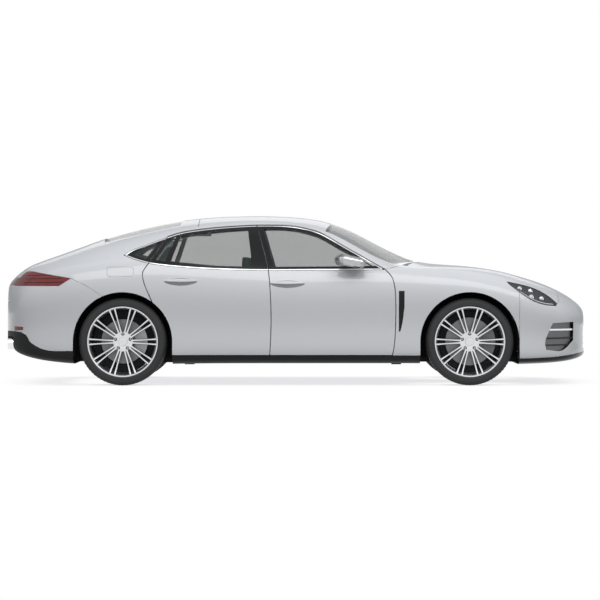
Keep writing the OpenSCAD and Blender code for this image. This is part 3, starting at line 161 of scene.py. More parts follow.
class Graph:
    """Node tree of a material or a world, with one method that makes any node."""

    def __init__(self, name: str, world: bool = False) -> None:
        """Start an empty tree.

        Args:
            name: name of the material or world.
            world: whether it is a world.
        """
        self.owner = (bpy.data.worlds if world else bpy.data.materials).new(name)
        self.owner.use_nodes = True
        self.tree = self.owner.node_tree
        self.tree.nodes.clear()
        self.output = self.tree.nodes.new("ShaderNodeOutputWorld" if world else "ShaderNodeOutputMaterial")

    def node(self, kind: str, settings: dict[str, Any] | None = None,
             inputs: dict[Any, Any] | None = None) -> Any:
        """Make one node.

        Args:
            kind: type of the node.
            settings: properties, set first; "stops" holds a ramp's places and colours.
            inputs: values or terms for sockets, by name or number.

        Returns:
            The node.
        """
        made = self.tree.nodes.new(kind)
        for key, value in (settings or {}).items():
            if key == "stops":
                ramp = made.color_ramp
                while len(ramp.elements) < len(value):
                    ramp.elements.new(0.5)
                for element, (place, colour) in zip(ramp.elements, value):
                    element.position = place
                    element.color = (*colour, 1.0)
            else:
                setattr(made, key, value)
        for key, value in (inputs or {}).items():
            socket = made.inputs[key]
            if isinstance(value, Term):
                self.tree.links.new(value.socket, socket)
            else:
                socket.default_value = value
        return made

    def term(self, node: Any, output: Any = 0) -> Term:
        """Wrap one output of a node."""
        return Term(self, node.outputs[output])

    def place(self, scale: Spot = (1.0, 1.0, 1.0)) -> Term:
        """Object coordinates, scaled."""
        spot = self.term(self.node("ShaderNodeTexCoord"), "Object")
        return self.term(self.node("ShaderNodeMapping", None, {"Vector": spot, "Scale": scale}))

    def axis(self, letter: str) -> Term:
        """One of the object coordinates.

        Args:
            letter: X, Y or Z.

        Returns:
            The coordinate in metres.
        """
        split = self.node("ShaderNodeSeparateXYZ", None, {0: self.place()})
        return self.term(split, letter)

    def noise(self, scale: float, detail: float = 2.0, stretch: Spot = (1.0, 1.0, 1.0)) -> Term:
        """Soft noise from 0 to 1.

        Args:
            scale: waves in a metre.
            detail: octaves.
            stretch: scale along each axis.

        Returns:
            The noise's value.
        """
        made = self.node("ShaderNodeTexNoise", None,
                         {"Vector": self.place(stretch), "Scale": scale, "Detail": detail})
        return self.term(made, 0)

    def ramp(self, value: Term, stops: Sequence[tuple[float, Colour]]) -> Term:
        """Colour along a value."""
        return self.term(self.node("ShaderNodeValToRGB", {"stops": stops}, {0: value}))

    def blend(self, factor: Any, first: Any, second: Any) -> Term:
        """Mix two colours.

        Args:
            factor: share of the second.
            first: colour or term.
            second: colour or term.

        Returns:
            The mixed colour.
        """
        def rgba(value: Any) -> Any:
            """Colour with its alpha, or the term itself."""
            return value if isinstance(value, Term) else (*value, 1.0)

        made = self.node("ShaderNodeMix", {"data_type": "RGBA"}, {0: factor, 6: rgba(first), 7: rgba(second)})
        return self.term(made, 2)

    def bump(self, height: Term, strength: float, distance: float) -> Term:
        """Normal from a height.

        Args:
            height: height from 0 to 1.
            strength: share of the effect.
            distance: height in metres.

        Returns:
            The bent normal.
        """
        return self.term(self.node("ShaderNodeBump", None,
                                   {"Height": height, "Strength": strength, "Distance": distance}))

    def principled(self, **inputs: Any) -> Any:
        """Principled shader; underscores in names stand for spaces."""
        named = {key.replace("_", " "): value for key, value in inputs.items()}
        for key in ("Base Color", "Emission Color"):
            if key in named and not isinstance(named[key], Term):
                named[key] = (*named[key], 1.0)
        return self.node("ShaderNodeBsdfPrincipled", None, named)

    def close(self, shader: Any) -> Any:
        """Join a shader node to the output and return the finished material or world."""
        self.tree.links.new(shader.outputs[0], self.output.inputs["Surface"])
        return self.owner


@dataclass(frozen=True)
class Paint:
    """Pearl lacquer: a fine flake under a clear coat."""

    name: str
    colour: Colour
    flake: Colour

    def make(self) -> Material:
        """Build the material."""
        g = Graph(self.name)
        flake = g.noise(900.0, 1.0)
        haze = g.noise(1.3, 2.0)
        colour = g.blend(flake * 0.5 + haze * 0.2, self.colour, self.flake)
        return g.close(g.principled(Base_Color=colour, Roughness=flake * 0.08 + 0.24, Specular_IOR_Level=0.2,
                                    Coat_Weight=0.6, Coat_Roughness=0.03))


@dataclass(frozen=True)
class Plastic:
    """Moulded plastic, plain or grained."""

    name: str
    colour: Colour
    roughness: float
    grain: float = 0.0
    coat: float = 0.0

    def make(self) -> Material:
        """Build the material."""
        g = Graph(self.name)
        cloud = g.noise(6.0, 3.0)
        pale = tuple(min(1.0, c * 1.35 + 0.004) for c in self.colour)
        inputs: dict[str, Any] = {
            "Base_Color": g.blend(cloud * 0.5, self.colour, pale),
            "Roughness": cloud * 0.1 + (self.roughness - 0.05),
            "Coat_Weight": self.coat,
            "Specular_IOR_Level": 0.2,
        }
        if self.grain:
            inputs["Normal"] = g.bump(g.noise(700.0, 2.0), 0.5, self.grain)
        return g.close(g.principled(**inputs))


@dataclass(frozen=True)
class Metal:
    """Bare or plated metal with fine brushing."""

    name: str
    colour: Colour
    roughness: float
    brushed: float = 0.0
    stretch: Spot = (1.0, 1.0, 1.0)

    def make(self) -> Material:
        """Build the material."""
        g = Graph(self.name)
        streak = g.noise(240.0, 2.0, self.stretch)
        worn = tuple(c * 0.8 for c in self.colour)
        inputs: dict[str, Any] = {
            "Base_Color": g.blend(g.noise(9.0, 3.0) * 0.5, self.colour, worn),
            "Roughness": streak * 0.12 + (self.roughness - 0.05),
            "Metallic": 1.0,
        }
        if self.brushed:
            inputs["Normal"] = g.bump(streak, 0.4, self.brushed)
        return g.close(g.principled(**inputs))


@dataclass(frozen=True)
class Pane:
    """Tinted glass, seen through."""

    name: str
    colour: Colour
    alpha: float

    def make(self) -> Material:
        """Build the material."""
        g = Graph(self.name)
        tint = g.blend(g.noise(0.8, 1.0) * 0.4, self.colour, tuple(c * 1.2 for c in self.colour))
        return g.close(g.principled(Base_Color=tint, Roughness=0.03, Alpha=self.alpha,
                                    Specular_IOR_Level=0.35))


@dataclass(frozen=True)
class Rubber:
    """Tyre rubber, dusted in soft patches."""

    name: str
    colour: Colour

    def make(self) -> Material:
        """Build the material."""
        g = Graph(self.name)
        dust = g.noise(14.0, 4.0)
        colour = g.blend(dust * 0.5, self.colour, tuple(c * 1.9 + 0.006 for c in self.colour))
        return g.close(g.principled(Base_Color=colour, Roughness=dust * 0.2 + 0.55,
                                    Normal=g.bump(g.noise(420.0, 3.0), 0.35, 0.0004)))


@dataclass(frozen=True)
class Leather:
    """Grained upholstery leather."""

    name: str
    colour: Colour

    def make(self) -> Material:
        """Build the material."""
        g = Graph(self.name)
        grain = g.term(g.node("ShaderNodeTexVoronoi", {"feature": "DISTANCE_TO_EDGE"},
                              {"Vector": g.place(), "Scale": 420.0}))
        colour = g.blend(g.noise(5.0, 3.0) * 0.6, self.colour, tuple(c * 1.6 for c in self.colour))
        return g.close(g.principled(Base_Color=colour, Roughness=g.noise(30.0, 2.0) * 0.15 + 0.42,
                                    Normal=g.bump(grain, 0.4, 0.0006)))


@dataclass(frozen=True)
class Lens:
    """Coloured lamp lens with fine ribs."""

    name: str
    colour: Colour
    glow: float
    rib: float

    def make(self) -> Material:
        """Build the material."""
        g = Graph(self.name)
        wave = (g.axis("Z") * (2 * math.pi / self.rib)).call("SINE") * 0.5 + 0.5
        dark = tuple(c * 0.45 for c in self.colour)
        return g.close(g.principled(Base_Color=g.blend(1 - wave * 0.6, dark, self.colour), Roughness=0.12,
                                    Coat_Weight=0.5, Specular_IOR_Level=0.3, Emission_Color=self.colour,
                                    Emission_Strength=self.glow, Normal=g.bump(wave, 0.3, 0.001)))


class Finishes:
    """Every material of the car, made once."""

    def __init__(self) -> None:
        """Make the materials."""
        self.paint = Paint("pearl_paint", (0.74, 0.755, 0.78), (0.88, 0.89, 0.91)).make()
        self.gloss = Plastic("black_gloss", (0.007, 0.007, 0.008), 0.2, coat=0.05).make()
        self.trim = Plastic("dark_trim", (0.015, 0.015, 0.016), 0.55, grain=0.0004).make()
        self.cloth = Plastic("dark_lining", (0.03, 0.03, 0.032), 0.85, grain=0.0012).make()
        self.glass = Pane("tinted_glass", (0.05, 0.075, 0.066), 0.24).make()
        self.clear = Pane("clear_cover", (0.5, 0.52, 0.54), 0.10).make()
        self.screen = Pane("screen_glass", (0.10, 0.125, 0.115), 0.30).make()
        self.bright = Metal("bright_strip", (0.86, 0.87, 0.88), 0.14).make()
        self.alloy = Metal("machined_alloy", (0.74, 0.75, 0.77), 0.3, 0.0002, (1.0, 12.0, 1.0)).make()
        # Dark alloy for real dark parts, and painted shade where it colours the handle recesses and the drilled
        # holes of the brake discs.
        self.recess = Metal("dark_alloy", (0.16, 0.16, 0.17), 0.42).make()
        self.steel = Metal("plain_steel", (0.36, 0.37, 0.39), 0.42, 0.0002).make()
        self.iron = Metal("cast_iron", (0.2, 0.2, 0.21), 0.6, 0.0006).make()
        # The brake discs' colour is partly real steel and partly painted shade: darkened for the shadow inside
        # the wheel.
        self.disc = Metal("disc_steel", (0.20, 0.20, 0.205), 0.38, 0.0003).make()
        self.rubber = Rubber("tyre_rubber", (0.016, 0.016, 0.017)).make()
        self.leather = Leather("seat_leather", (0.035, 0.034, 0.034)).make()
        self.red = Lens("red_lens", (0.27, 0.007, 0.010), 0.03, 0.016).make()
        self.led = Lens("white_lens", (0.85, 0.88, 0.92), 0.25, 0.008).make()


# Outlines and meshes


def curve_through(points: Sequence[Point], steps: int = 6) -> list[Point]:
    """Smooth line through points.

    Args:
        points: guide points, ends included.
        steps: pieces between neighbours.

    Returns:
        Points of a centripetal curve through all of them.
    """
    if len(points) < 3:
        return list(points)
    p = [np.array(q, float) for q in points]
    p = [2 * p[0] - p[1], *p, 2 * p[-1] - p[-2]]
    made: list[Point] = []
    for a, b, c, d in zip(p, p[1:], p[2:], p[3:]):
        t1 = np.linalg.norm(b - a) ** 0.5
        t2 = t1 + np.linalg.norm(c - b) ** 0.5
        t3 = t2 + np.linalg.norm(d - c) ** 0.5
        for k in range(steps):
            t = t1 + (t2 - t1) * k / steps
            ab = a + (b - a) * t / t1
            bc = b + (c - b) * (t - t1) / (t2 - t1)
            cd = c + (d - c) * (t - t2) / (t3 - t2)
            abc = ab + (bc - ab) * t / t2
            bcd = bc + (cd - bc) * (t - t1) / (t3 - t1)
            made.append(tuple(abc + (bcd - abc) * (t - t1) / (t2 - t1)))
    made.append(tuple(p[-2]))
    return made


def outline_of(*edges: Sequence[Point]) -> list[Point]:
    """Closed outline of smooth edges, joined by straight lines where they don't meet.

    Args:
        edges: guide points of each edge; a corner is an edge of one point.

    Returns:
        Points round the outline, without the last repeated.
    """
    made: list[Point] = []
    for edge in edges:
        for q in curve_through(edge):
            if not made or math.dist(q, made[-1]) > 1e-6:
                made.append(q)
    if math.dist(made[0], made[-1]) < 1e-6:
        made.pop()
    return made


def turned_area(points: Sequence[Point]) -> float:
    """Area of an outline, positive when it runs counter-clockwise."""
    p = np.array(points)
    q = np.roll(p, -1, axis=0)
    return float((p[:, 0] * q[:, 1] - q[:, 0] * p[:, 1]).sum() / 2)


def inset(points: Sequence[Point], distance: float) -> list[Point]:
    """Outline moved inward.

    Args:
        points: closed outline.
        distance: distance in metres; negative moves it outward.

    Returns:
        The moved outline.
    """
    p = np.array(points, float)
    turn = 1.0 if turned_area(points) > 0 else -1.0
    before = p - np.roll(p, 1, axis=0)
    after = np.roll(p, -1, axis=0) - p
    before /= np.linalg.norm(before, axis=1, keepdims=True)
    after /= np.linalg.norm(after, axis=1, keepdims=True)
    n0 = np.stack([-before[:, 1], before[:, 0]], 1) * turn
    n1 = np.stack([-after[:, 1], after[:, 0]], 1) * turn
    middle = n0 + n1
    middle /= np.maximum(np.linalg.norm(middle, axis=1, keepdims=True), 1e-6)
    reach = distance / np.maximum((middle * n0).sum(1, keepdims=True), 0.35)
    return [tuple(q) for q in p + middle * reach]


def strip_of(points: Sequence[Point], width: float) -> list[Point]:
    """Closed outline of a band along a line.

    Args:
        points: points of the line.
        width: width of the band.

    Returns:
        The band's outline.
    """
    p = np.array(points, float)
    ahead = np.gradient(p, axis=0)
    ahead /= np.linalg.norm(ahead, axis=1, keepdims=True)
    across = np.stack([-ahead[:, 1], ahead[:, 0]], 1) * width / 2
    return [tuple(q) for q in p + across] + [tuple(q) for q in (p - across)[::-1]]


def linked(name: str, data: Any) -> Object:
    """New object for a mesh, light or camera, linked to the scene."""
    made = bpy.data.objects.new(name, data)
    bpy.context.scene.collection.objects.link(made)
    return made


def tube_faces(rings: int, n: int, closed: bool = False) -> list[Sequence[int]]:
    """Faces between neighbouring rings of corners.

    Args:
        rings: number of rings.
        n: corners of a ring.
        closed: whether the last ring meets the first.

    Returns:
        Corner numbers of each face.
    """
    made: list[Sequence[int]] = []
    for i in range(rings if closed else rings - 1):
        j = (i + 1) % rings
        made += [(i * n + k, i * n + (k + 1) % n, j * n + (k + 1) % n, j * n + k) for k in range(n)]
    return made


def arc_over(x: float, z: float, r: float, steps: int) -> list[Point]:
    """Half circle over a wheel, from its front to its rear."""
    angles = [math.pi * i / steps for i in range(steps + 1)]
    return [(x + r * math.cos(a), z + r * math.sin(a)) for a in angles]


def rounded(low: Point, high: Point, r: float) -> list[Point]:
    """Outline of a rectangle with round corners.

    Args:
        low: its lowest corner.
        high: the corner opposite.
        r: radius of its corners.

    Returns:
        Points, counter-clockwise.
    """
    (x0, z0), (x1, z1) = (low[0] + r, low[1] + r), (high[0] - r, high[1] - r)
    made: list[Point] = []
    for quarter, (x, z) in enumerate(((x1, z1), (x0, z1), (x0, z0), (x1, z0))):
        angles = [math.radians(90 * quarter + 15 * step) for step in range(7)]
        made += [(x + r * math.cos(a), z + r * math.sin(a)) for a in angles]
    return made


def new_object(name: str, points: Iterable[Sequence[float]], faces: Iterable[Sequence[int]],
               slot: int = 0) -> Object:
    """Mesh object at the origin.

    Args:
        name: name of the object.
        points: corners.
        faces: corner numbers of each face.
        slot: material number of every face.

    Returns:
        The object, linked to the scene.
    """
    mesh = bpy.data.meshes.new(name)
    mesh.from_pydata([tuple(map(float, p)) for p in points], [], [tuple(map(int, f)) for f in faces])
    mesh.update()
    if slot:
        mesh.polygons.foreach_set("material_index", [slot] * len(mesh.polygons))
    return linked(name, mesh)


def prism(points: Sequence[Point], plane: Plane, low: float, high: float, slot: int = 0) -> Object:
    """Solid with a drawn outline.

    Args:
        points: closed outline.
        plane: view in which it is drawn.
        low: start along the view's axis.
        high: end along the view's axis.
        slot: material number of its faces.

    Returns:
        The solid.
    """
    def corner(p: Point, depth: float) -> Spot:
        """Place of an outline's point at one depth."""
        if plane is Plane.SIDE:
            return (p[0], depth, p[1])
        if plane is Plane.TOP:
            return (p[0], p[1], depth)
        return (depth, p[0], p[1])

    n = len(points)
    corners = [corner(p, low) for p in points] + [corner(p, high) for p in points]
    faces: list[Sequence[int]] = [list(range(n))[::-1], list(range(n, 2 * n))]
    faces += [(i, (i + 1) % n, n + (i + 1) % n, n + i) for i in range(n)]
    return recalculate(new_object("tool", corners, faces, slot))


def edit(obj: Object, *steps: Any) -> None:
    """Run functions on an object's mesh.

    Args:
        obj: object to change.
        steps: functions that take a BMesh.
    """
    bm = bmesh.new()
    bm.from_mesh(obj.data)
    for step in steps:
        step(bm)
    bm.to_mesh(obj.data)
    bm.free()


def recalculate(obj: Object) -> Object:
    """Point every face outward."""
    edit(obj, lambda bm: bmesh.ops.recalc_face_normals(bm, faces=bm.faces))
    return obj


def remove(*objects: Object) -> None:
    """Delete working solids."""
    for obj in objects:
        mesh = obj.data
        bpy.data.objects.remove(obj)
        bpy.data.meshes.remove(mesh)


def baked(obj: Object) -> Object:
    """Replace an object's mesh by what its modifiers make of it.

    Args:
        obj: object to change.

    Returns:
        The object.
    """
    bpy.context.view_layer.update()
    graph = bpy.context.evaluated_depsgraph_get()
    mesh = bpy.data.meshes.new_from_object(obj.evaluated_get(graph))
    obj.modifiers.clear()
    old = obj.data
    obj.data = mesh
    bpy.data.meshes.remove(old)
    return obj


def carve(target: Object, tool: Object, cut: Cut, keep_tool: bool = False) -> Object:
    """Combine two solids.

    Args:
        target: solid to change.
        tool: solid that changes it.
        cut: way to combine them.
        keep_tool: whether the tool is used again.

    Returns:
        The changed target.
    """
    step = target.modifiers.new("cut", "BOOLEAN")
    step.operation = cut.value
    step.solver = "MANIFOLD"
    step.object = tool
    baked(target)
    if not keep_tool:
        remove(tool)
    return target


def copy_of(obj: Object, name: str, flip: bool = False) -> Object:
    """Copy of an object.

    Args:
        obj: object to copy.
        name: name of the copy.
        flip: whether the copy is mirrored to the car's other side.

    Returns:
        The copy.
    """
    made = linked(name, obj.data.copy())
    if flip:
        made.data.transform(Matrix.Diagonal((1, -1, 1, 1)))
        made.data.flip_normals()
    return made


def joined(name: str, objects: Sequence[Object]) -> Object:
    """Join objects that share their list of materials into one.

    Args:
        name: name of the result.
        objects: objects to join; they are deleted.

    Returns:
        The joined object.
    """
    bm = bmesh.new()
    for obj in objects:
        bm.from_mesh(obj.data)
    mesh = bpy.data.meshes.new(name)
    bm.to_mesh(mesh)
    bm.free()
    remove(*objects)
    return linked(name, mesh)


def pair(name: str, left: Object) -> Object:
    """Join a left piece, which is used up, with its mirror image."""
    return joined(name, [left, copy_of(left, "right", flip=True)])


def open_side(target: Object, outline: Sequence[Point], low: float = 0.0, slot: int = 0) -> None:
    """Cut an opening through a piece, as seen from the side.

    Args:
        target: piece to cut.
        outline: side-view outline.
        low: place across the car at which the cut starts.
        slot: material number of the cut faces.
    """
    carve(target, prism(outline, Plane.SIDE, low, WIDE, slot), Cut.REMOVE)


def open_top(target: Object, outline: Sequence[Point], low: float = -1.0, slot: int = 0) -> None:
    """Cut an opening through a piece, as seen from above.

    Args:
        target: piece to cut.
        outline: top-view outline.
        low: height at which the cut starts.
        slot: material number of the cut faces.
    """
    carve(target, prism(outline, Plane.TOP, low, WIDE, slot), Cut.REMOVE)


def hull_of(name: str, balls: Sequence[tuple[Matrix, float]], segments: int, rings: int) -> Object:
    """Solid whose skin is stretched over balls.

    Args:
        name: name of the object.
        balls: place and radius of each ball.
        segments: steps round a ball.
        rings: steps from pole to pole.

    Returns:
        The solid.
    """
    def build(bm: bmesh.types.BMesh) -> None:
        """Make the balls and keep only their hull."""
        for spot, r in balls:
            bmesh.ops.create_uvsphere(bm, u_segments=segments, v_segments=rings, radius=r, matrix=spot)
        hull = bmesh.ops.convex_hull(bm, input=bm.verts)
        spare = [g for g in hull["geom_interior"] + hull["geom_unused"] if isinstance(g, bmesh.types.BMVert)]
        bmesh.ops.delete(bm, geom=spare, context="VERTS")
        bmesh.ops.recalc_face_normals(bm, faces=bm.faces)

    made = new_object(name, [], [])
    edit(made, build)
    return made


def lathe(profile: Sequence[Point], segments: int = 96) -> Object:
    """Round solid about the Y axis.

    Args:
        profile: radius and place along the axis of each point of a closed outline.
        segments: steps round the axis.

    Returns:
        The solid at the origin.
    """
    n = len(profile)
    points = []
    for i in range(segments):
        a = 2 * math.pi * i / segments
        points += [(r * math.cos(a), y, r * math.sin(a)) for r, y in profile]
    return recalculate(new_object("turned", points, tube_faces(segments, n, closed=True)))


def box_at(centre: Sequence[float], size: Sequence[float], bevel: float = 0.0, segments: int = 2) -> Object:
    """Box with rounded edges.

    Args:
        centre: its middle.
        size: its three sizes.
        bevel: radius of its edges.
        segments: steps round an edge.

    Returns:
        The box.
    """
    made = new_object("box", [], [])

    def build(bm: bmesh.types.BMesh) -> None:
        """Make and round the cube."""
        bmesh.ops.create_cube(bm, size=1.0, matrix=Matrix.Translation(centre) @ Matrix.Diagonal((*size, 1.0)))
        if bevel:
            bmesh.ops.bevel(bm, geom=bm.edges[:], offset=bevel, segments=segments, profile=0.6,
                            affect="EDGES")

    edit(made, build)
    return made


def place(obj: Object, matrix: Matrix) -> Object:
    """Move an object's mesh."""
    obj.data.transform(matrix)
    obj.data.update()
    return obj


def dress(obj: Object, name: str, body: str, slot: str, *materials: Material,
          replaces: Sequence[str] = ()) -> Object:
    """Finish a piece: name, shading, materials and the body that it rides on.

    Args:
        obj: finished mesh.
        name: name of the piece.
        body: body that carries it.
        slot: the record's finish that it takes; not used.
        materials: materials by number.
        replaces: solids that it stands for.

    Returns:
        The piece.
    """
    obj.name = name
    obj.data.name = name
    edit(obj, lambda bm: bmesh.ops.remove_doubles(bm, verts=bm.verts, dist=2e-6))
    obj.data.materials.clear()
    for material in materials:
        obj.data.materials.append(material)
    if len(materials) == 1:
        obj.data.polygons.foreach_set("material_index", [0] * len(obj.data.polygons))
    obj.data.shade_smooth()
    obj.data.set_sharp_from_angle(angle=SHARP)
    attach(obj, body)
    if replaces:
        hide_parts(*replaces)
    LOG.info("%s rides on %s, %d faces", name, body, len(obj.data.polygons))
    return obj


# Repeats


class Pattern:
    """Geometry Nodes tree that repeats a small mesh round the axis Y."""

    def __init__(self) -> None:
        """Build the tree, with inputs for the count, the step and the material."""
        self.tree = tree = bpy.data.node_groups.new("ring_pattern", "GeometryNodeTree")
        for name, way, kind in (("Geometry", "INPUT", "Geometry"), ("Count", "INPUT", "Int"),
                                ("Step", "INPUT", "Vector"), ("Material", "INPUT", "Material"),
                                ("Geometry", "OUTPUT", "Geometry")):
            tree.interface.new_socket(name, in_out=way, socket_type=f"NodeSocket{kind}")
        given, points, index, turn, spread, real, finish, done = (tree.nodes.new(kind) for kind in (
            "NodeGroupInput", "GeometryNodePoints", "GeometryNodeInputIndex", "ShaderNodeVectorMath",
            "GeometryNodeInstanceOnPoints", "GeometryNodeRealizeInstances", "GeometryNodeSetMaterial",
            "NodeGroupOutput"))
        turn.operation = "SCALE"
        for source, output, target, entry in (
                (given, "Count", points, "Count"), (given, "Step", turn, 0), (index, 0, turn, "Scale"),
                (turn, 0, spread, "Rotation"), (points, 0, spread, "Points"),
                (given, "Geometry", spread, "Instance"), (spread, 0, real, 0), (real, 0, finish, "Geometry"),
                (given, "Material", finish, "Material"), (finish, 0, done, 0)):
            tree.links.new(source.outputs[output], target.inputs[entry])

    def ring(self, obj: Object, count: int, material: Material) -> Object:
        """Repeat a mesh round the Y axis.

        Args:
            obj: one member.
            count: number of members.
            material: material of all.

        Returns:
            The whole ring as a plain mesh.
        """
        modifier = obj.modifiers.new("repeat", "NODES")
        modifier.node_group = self.tree
        values = {"Count": count, "Step": (0.0, 2 * math.pi / count, 0.0), "Material": material}
        for item in self.tree.interface.items_tree:
            if item.in_out == "INPUT" and item.name in values:
                modifier[item.identifier] = values[item.name]
        return baked(obj)


# The form of the body


@dataclass
class BodyForm:
    """Smooth outside of the car, lofted through cross sections.

    A station counts axles: 0 is the tail, 1 the rear axle, 2 the front axle and 3 the nose.
    Widths are shares of the half width and heights are shares of the body's height.
    """

    wheelbase: float = 2.880
    front_overhang: float = 1.025
    rear_overhang: float = 1.025
    half_width: float = 0.968
    height: float = 1.420
    steps: int = 6
    plain: int = 2
    stations: tuple[float, ...] = (
        0, 0.005, 0.035, 0.11, 0.19, 0.33, 0.56, 0.80, 1.02, 1.12, 1.22, 1.34, 1.46,
        1.56, 1.63, 1.69, 1.75, 1.80, 1.85, 1.91, 2.00, 2.26, 2.48, 2.68, 2.85, 2.955, 2.995, 3)
    under: tuple[float, ...] = (
        0.245, 0.24, 0.22, 0.19, 0.165, 0.14, 0.122, 0.116, 0.116, 0.12, 0.123, 0.124, 0.124,
        0.124, 0.124, 0.124, 0.124, 0.124, 0.124, 0.122, 0.116, 0.116, 0.12, 0.125, 0.137, 0.158, 0.174, 0.18)
    side: tuple[float, ...] = (
        0, 0.31, 0.61, 0.8, 0.88, 0.935, 0.976, 0.996, 1, 0.987, 0.974, 0.967, 0.965,
        0.964, 0.963, 0.963, 0.963, 0.964, 0.967, 0.976, 0.988, 0.98, 0.945, 0.873, 0.73, 0.5, 0.23, 0)
    belt_y: tuple[float, ...] = (
        0, 0.3, 0.59, 0.76, 0.816, 0.863, 0.9, 0.921, 0.935, 0.925, 0.912, 0.903, 0.897,
        0.893, 0.89, 0.888, 0.886, 0.884, 0.883, 0.884, 0.884, 0.866, 0.826, 0.75, 0.61, 0.43, 0.2, 0)
    belt_z: tuple[float, ...] = (
        0.45, 0.452, 0.466, 0.523, 0.597, 0.65, 0.692, 0.709, 0.717, 0.717, 0.702, 0.688, 0.682,
        0.682, 0.684, 0.686, 0.687, 0.685, 0.682, 0.68, 0.672, 0.637, 0.58, 0.52, 0.456, 0.415, 0.39, 0.383)
    rail_y: tuple[float, ...] = (
        0, 0.25, 0.487, 0.605, 0.63, 0.646, 0.661, 0.671, 0.674, 0.667, 0.654, 0.64, 0.636,
        0.643, 0.668, 0.714, 0.768, 0.788, 0.786, 0.77, 0.74, 0.714, 0.667, 0.58, 0.445, 0.3, 0.135, 0)
    rail_z: tuple[float, ...] = (
        0.553, 0.557, 0.578, 0.625, 0.675, 0.717, 0.767, 0.814, 0.857, 0.9, 0.933, 0.955, 0.953,
        0.921, 0.868, 0.795, 0.723, 0.696, 0.692, 0.695, 0.693, 0.668, 0.618, 0.562, 0.5, 0.45, 0.418, 0.408)
    top_z: tuple[float, ...] = (
        0.59, 0.597, 0.622, 0.668, 0.706, 0.741, 0.8, 0.867, 0.919, 0.963, 0.992, 1.002, 1.001,
        0.983, 0.944, 0.888, 0.821, 0.772, 0.727, 0.708, 0.7, 0.675, 0.632, 0.588, 0.527, 0.472, 0.433, 0.421)
    lower: tuple[Point, ...] = ((0, 0.5), (0, 0.87), (0.035, 0.975), (0.15, 0.997), (0.4, 0.966),
                                (0.68, 1.004), (0.87, 0.985))
    upper: tuple[Point, ...] = ((0.14, 0.004), (0.5, 0.013))
    roof: tuple[Point, ...] = ((0.72, 0.5), (0.36, 0.88))
    lean: tuple[Point, ...] = ((0, -1), (0, -1), (0.5, -1), (0.9, -0.45), (1, 0), (1, 0), (1, 0), (1, 0.1),
                               (0.95, 0.3), (0.9, 0.4), (0.86, 0.5), (0.6, 0.8), (0.3, 0.95), (0.1, 1),
                               (0, 1))
    belt_row: int = 8

    def __post_init__(self) -> None:
        """Keep a fine grid of the outside for lookups."""
        self.rear_axle = -(self.wheelbase + self.front_overhang - self.rear_overhang) / 2
        self.front_axle = self.rear_axle + self.wheelbase
        self.grid = self.sample(0.0, 0.0, 8)

    def x(self, station: float) -> float:
        """Place along the car of a station.

        Args:
            station: 1 at the rear axle, 2 at the front axle.

        Returns:
            Its x.
        """
        if station < 1:
            return self.rear_axle + (station - 1) * self.rear_overhang
        if station < 2:
            return self.rear_axle + (station - 1) * self.wheelbase
        return self.front_axle + (station - 2) * self.front_overhang

    def side_line(self, shares: Iterable[Point]) -> list[Point]:
        """Side-view points from stations and height shares."""
        return [(self.x(s), h * self.height) for s, h in shares]

    def top_line(self, shares: Iterable[Point]) -> list[Point]:
        """Top-view points from stations and width shares."""
        return [(self.x(s), w * self.half_width) for s, w in shares]

    def guide(self, low: float, high: float) -> np.ndarray:
        """Guide points of all sections on the left side.

        Args:
            low: distance moved inward below the belt.
            high: distance moved inward above it.

        Returns:
            Array of sections, points and coordinates.
        """
        length = self.wheelbase + self.front_overhang + self.rear_overhang
        net = []
        for i, station in enumerate(self.stations):
            under, side = self.under[i] * self.height, self.side[i] * self.half_width
            belt = np.array([self.belt_y[i] * self.half_width, self.belt_z[i] * self.height])
            rail = np.array([self.rail_y[i] * self.half_width, self.rail_z[i] * self.height])
            top = self.top_z[i] * self.height
            shape = [np.array([0.0, under])]
            shape += [np.array([side * w, under + (belt[1] - under) * t]) for t, w in self.lower]
            shape += [belt]
            shape += [belt + (rail - belt) * t + np.array([side * w, 0.0]) for t, w in self.upper]
            shape += [rail]
            shape += [np.array([rail[0] * w, rail[1] + (top - rail[1]) * t]) for w, t in self.roof]
            shape += [np.array([0.0, top])]
            x = self.x(station) * (1 - low / length * 2)
            row = []
            for k, p in enumerate(shape):
                inward = low if k <= self.belt_row else high
                row.append((x, max(0.0, p[0] - inward * self.lean[k][0]), p[1] - inward * self.lean[k][1]))
            net.append(row)
        return np.array(net)

    @staticmethod
    def _weights(spans: int, steps: int) -> np.ndarray:
        """Smooth weights of guide points, with one mirrored point added at each end.

        Args:
            spans: spaces between guide points.
            steps: steps in each space.

        Returns:
            A row of weights for each fine point.
        """
        made = np.zeros((spans * steps + 1, spans + 3))
        for i in range(spans * steps + 1):
            j = min(i // steps, spans - 1)
            f = i / steps - j
            made[i, j:j + 4] = np.array([(1 - f) ** 3, 3 * f ** 3 - 6 * f ** 2 + 4,
                                         -3 * f ** 3 + 3 * f ** 2 + 3 * f + 1, f ** 3]) / 6
        return made

    def sample(self, low: float, high: float, steps: int) -> np.ndarray:
        """Points of the left side, section by section.

        Args:
            low: distance moved inward below the belt.
            high: distance moved inward above it.
            steps: points between neighbouring guide points.

        Returns:
            Array of sections, points and coordinates.
        """
        net = self.guide(low, high)
        flip = np.array([1.0, -1.0, 1.0])
        net = np.concatenate([net[1:2] * flip, net, net[-2:-1] * flip], axis=0)
        net = np.concatenate([net[:, 1:2] * flip, net, net[:, -2:-1] * flip], axis=1)
        along = self._weights(len(self.stations) - 1, steps)
        round_ = self._weights(len(self.lean) - 1, steps)
        return np.einsum("ai,bj,ijc->abc", along, round_, net)

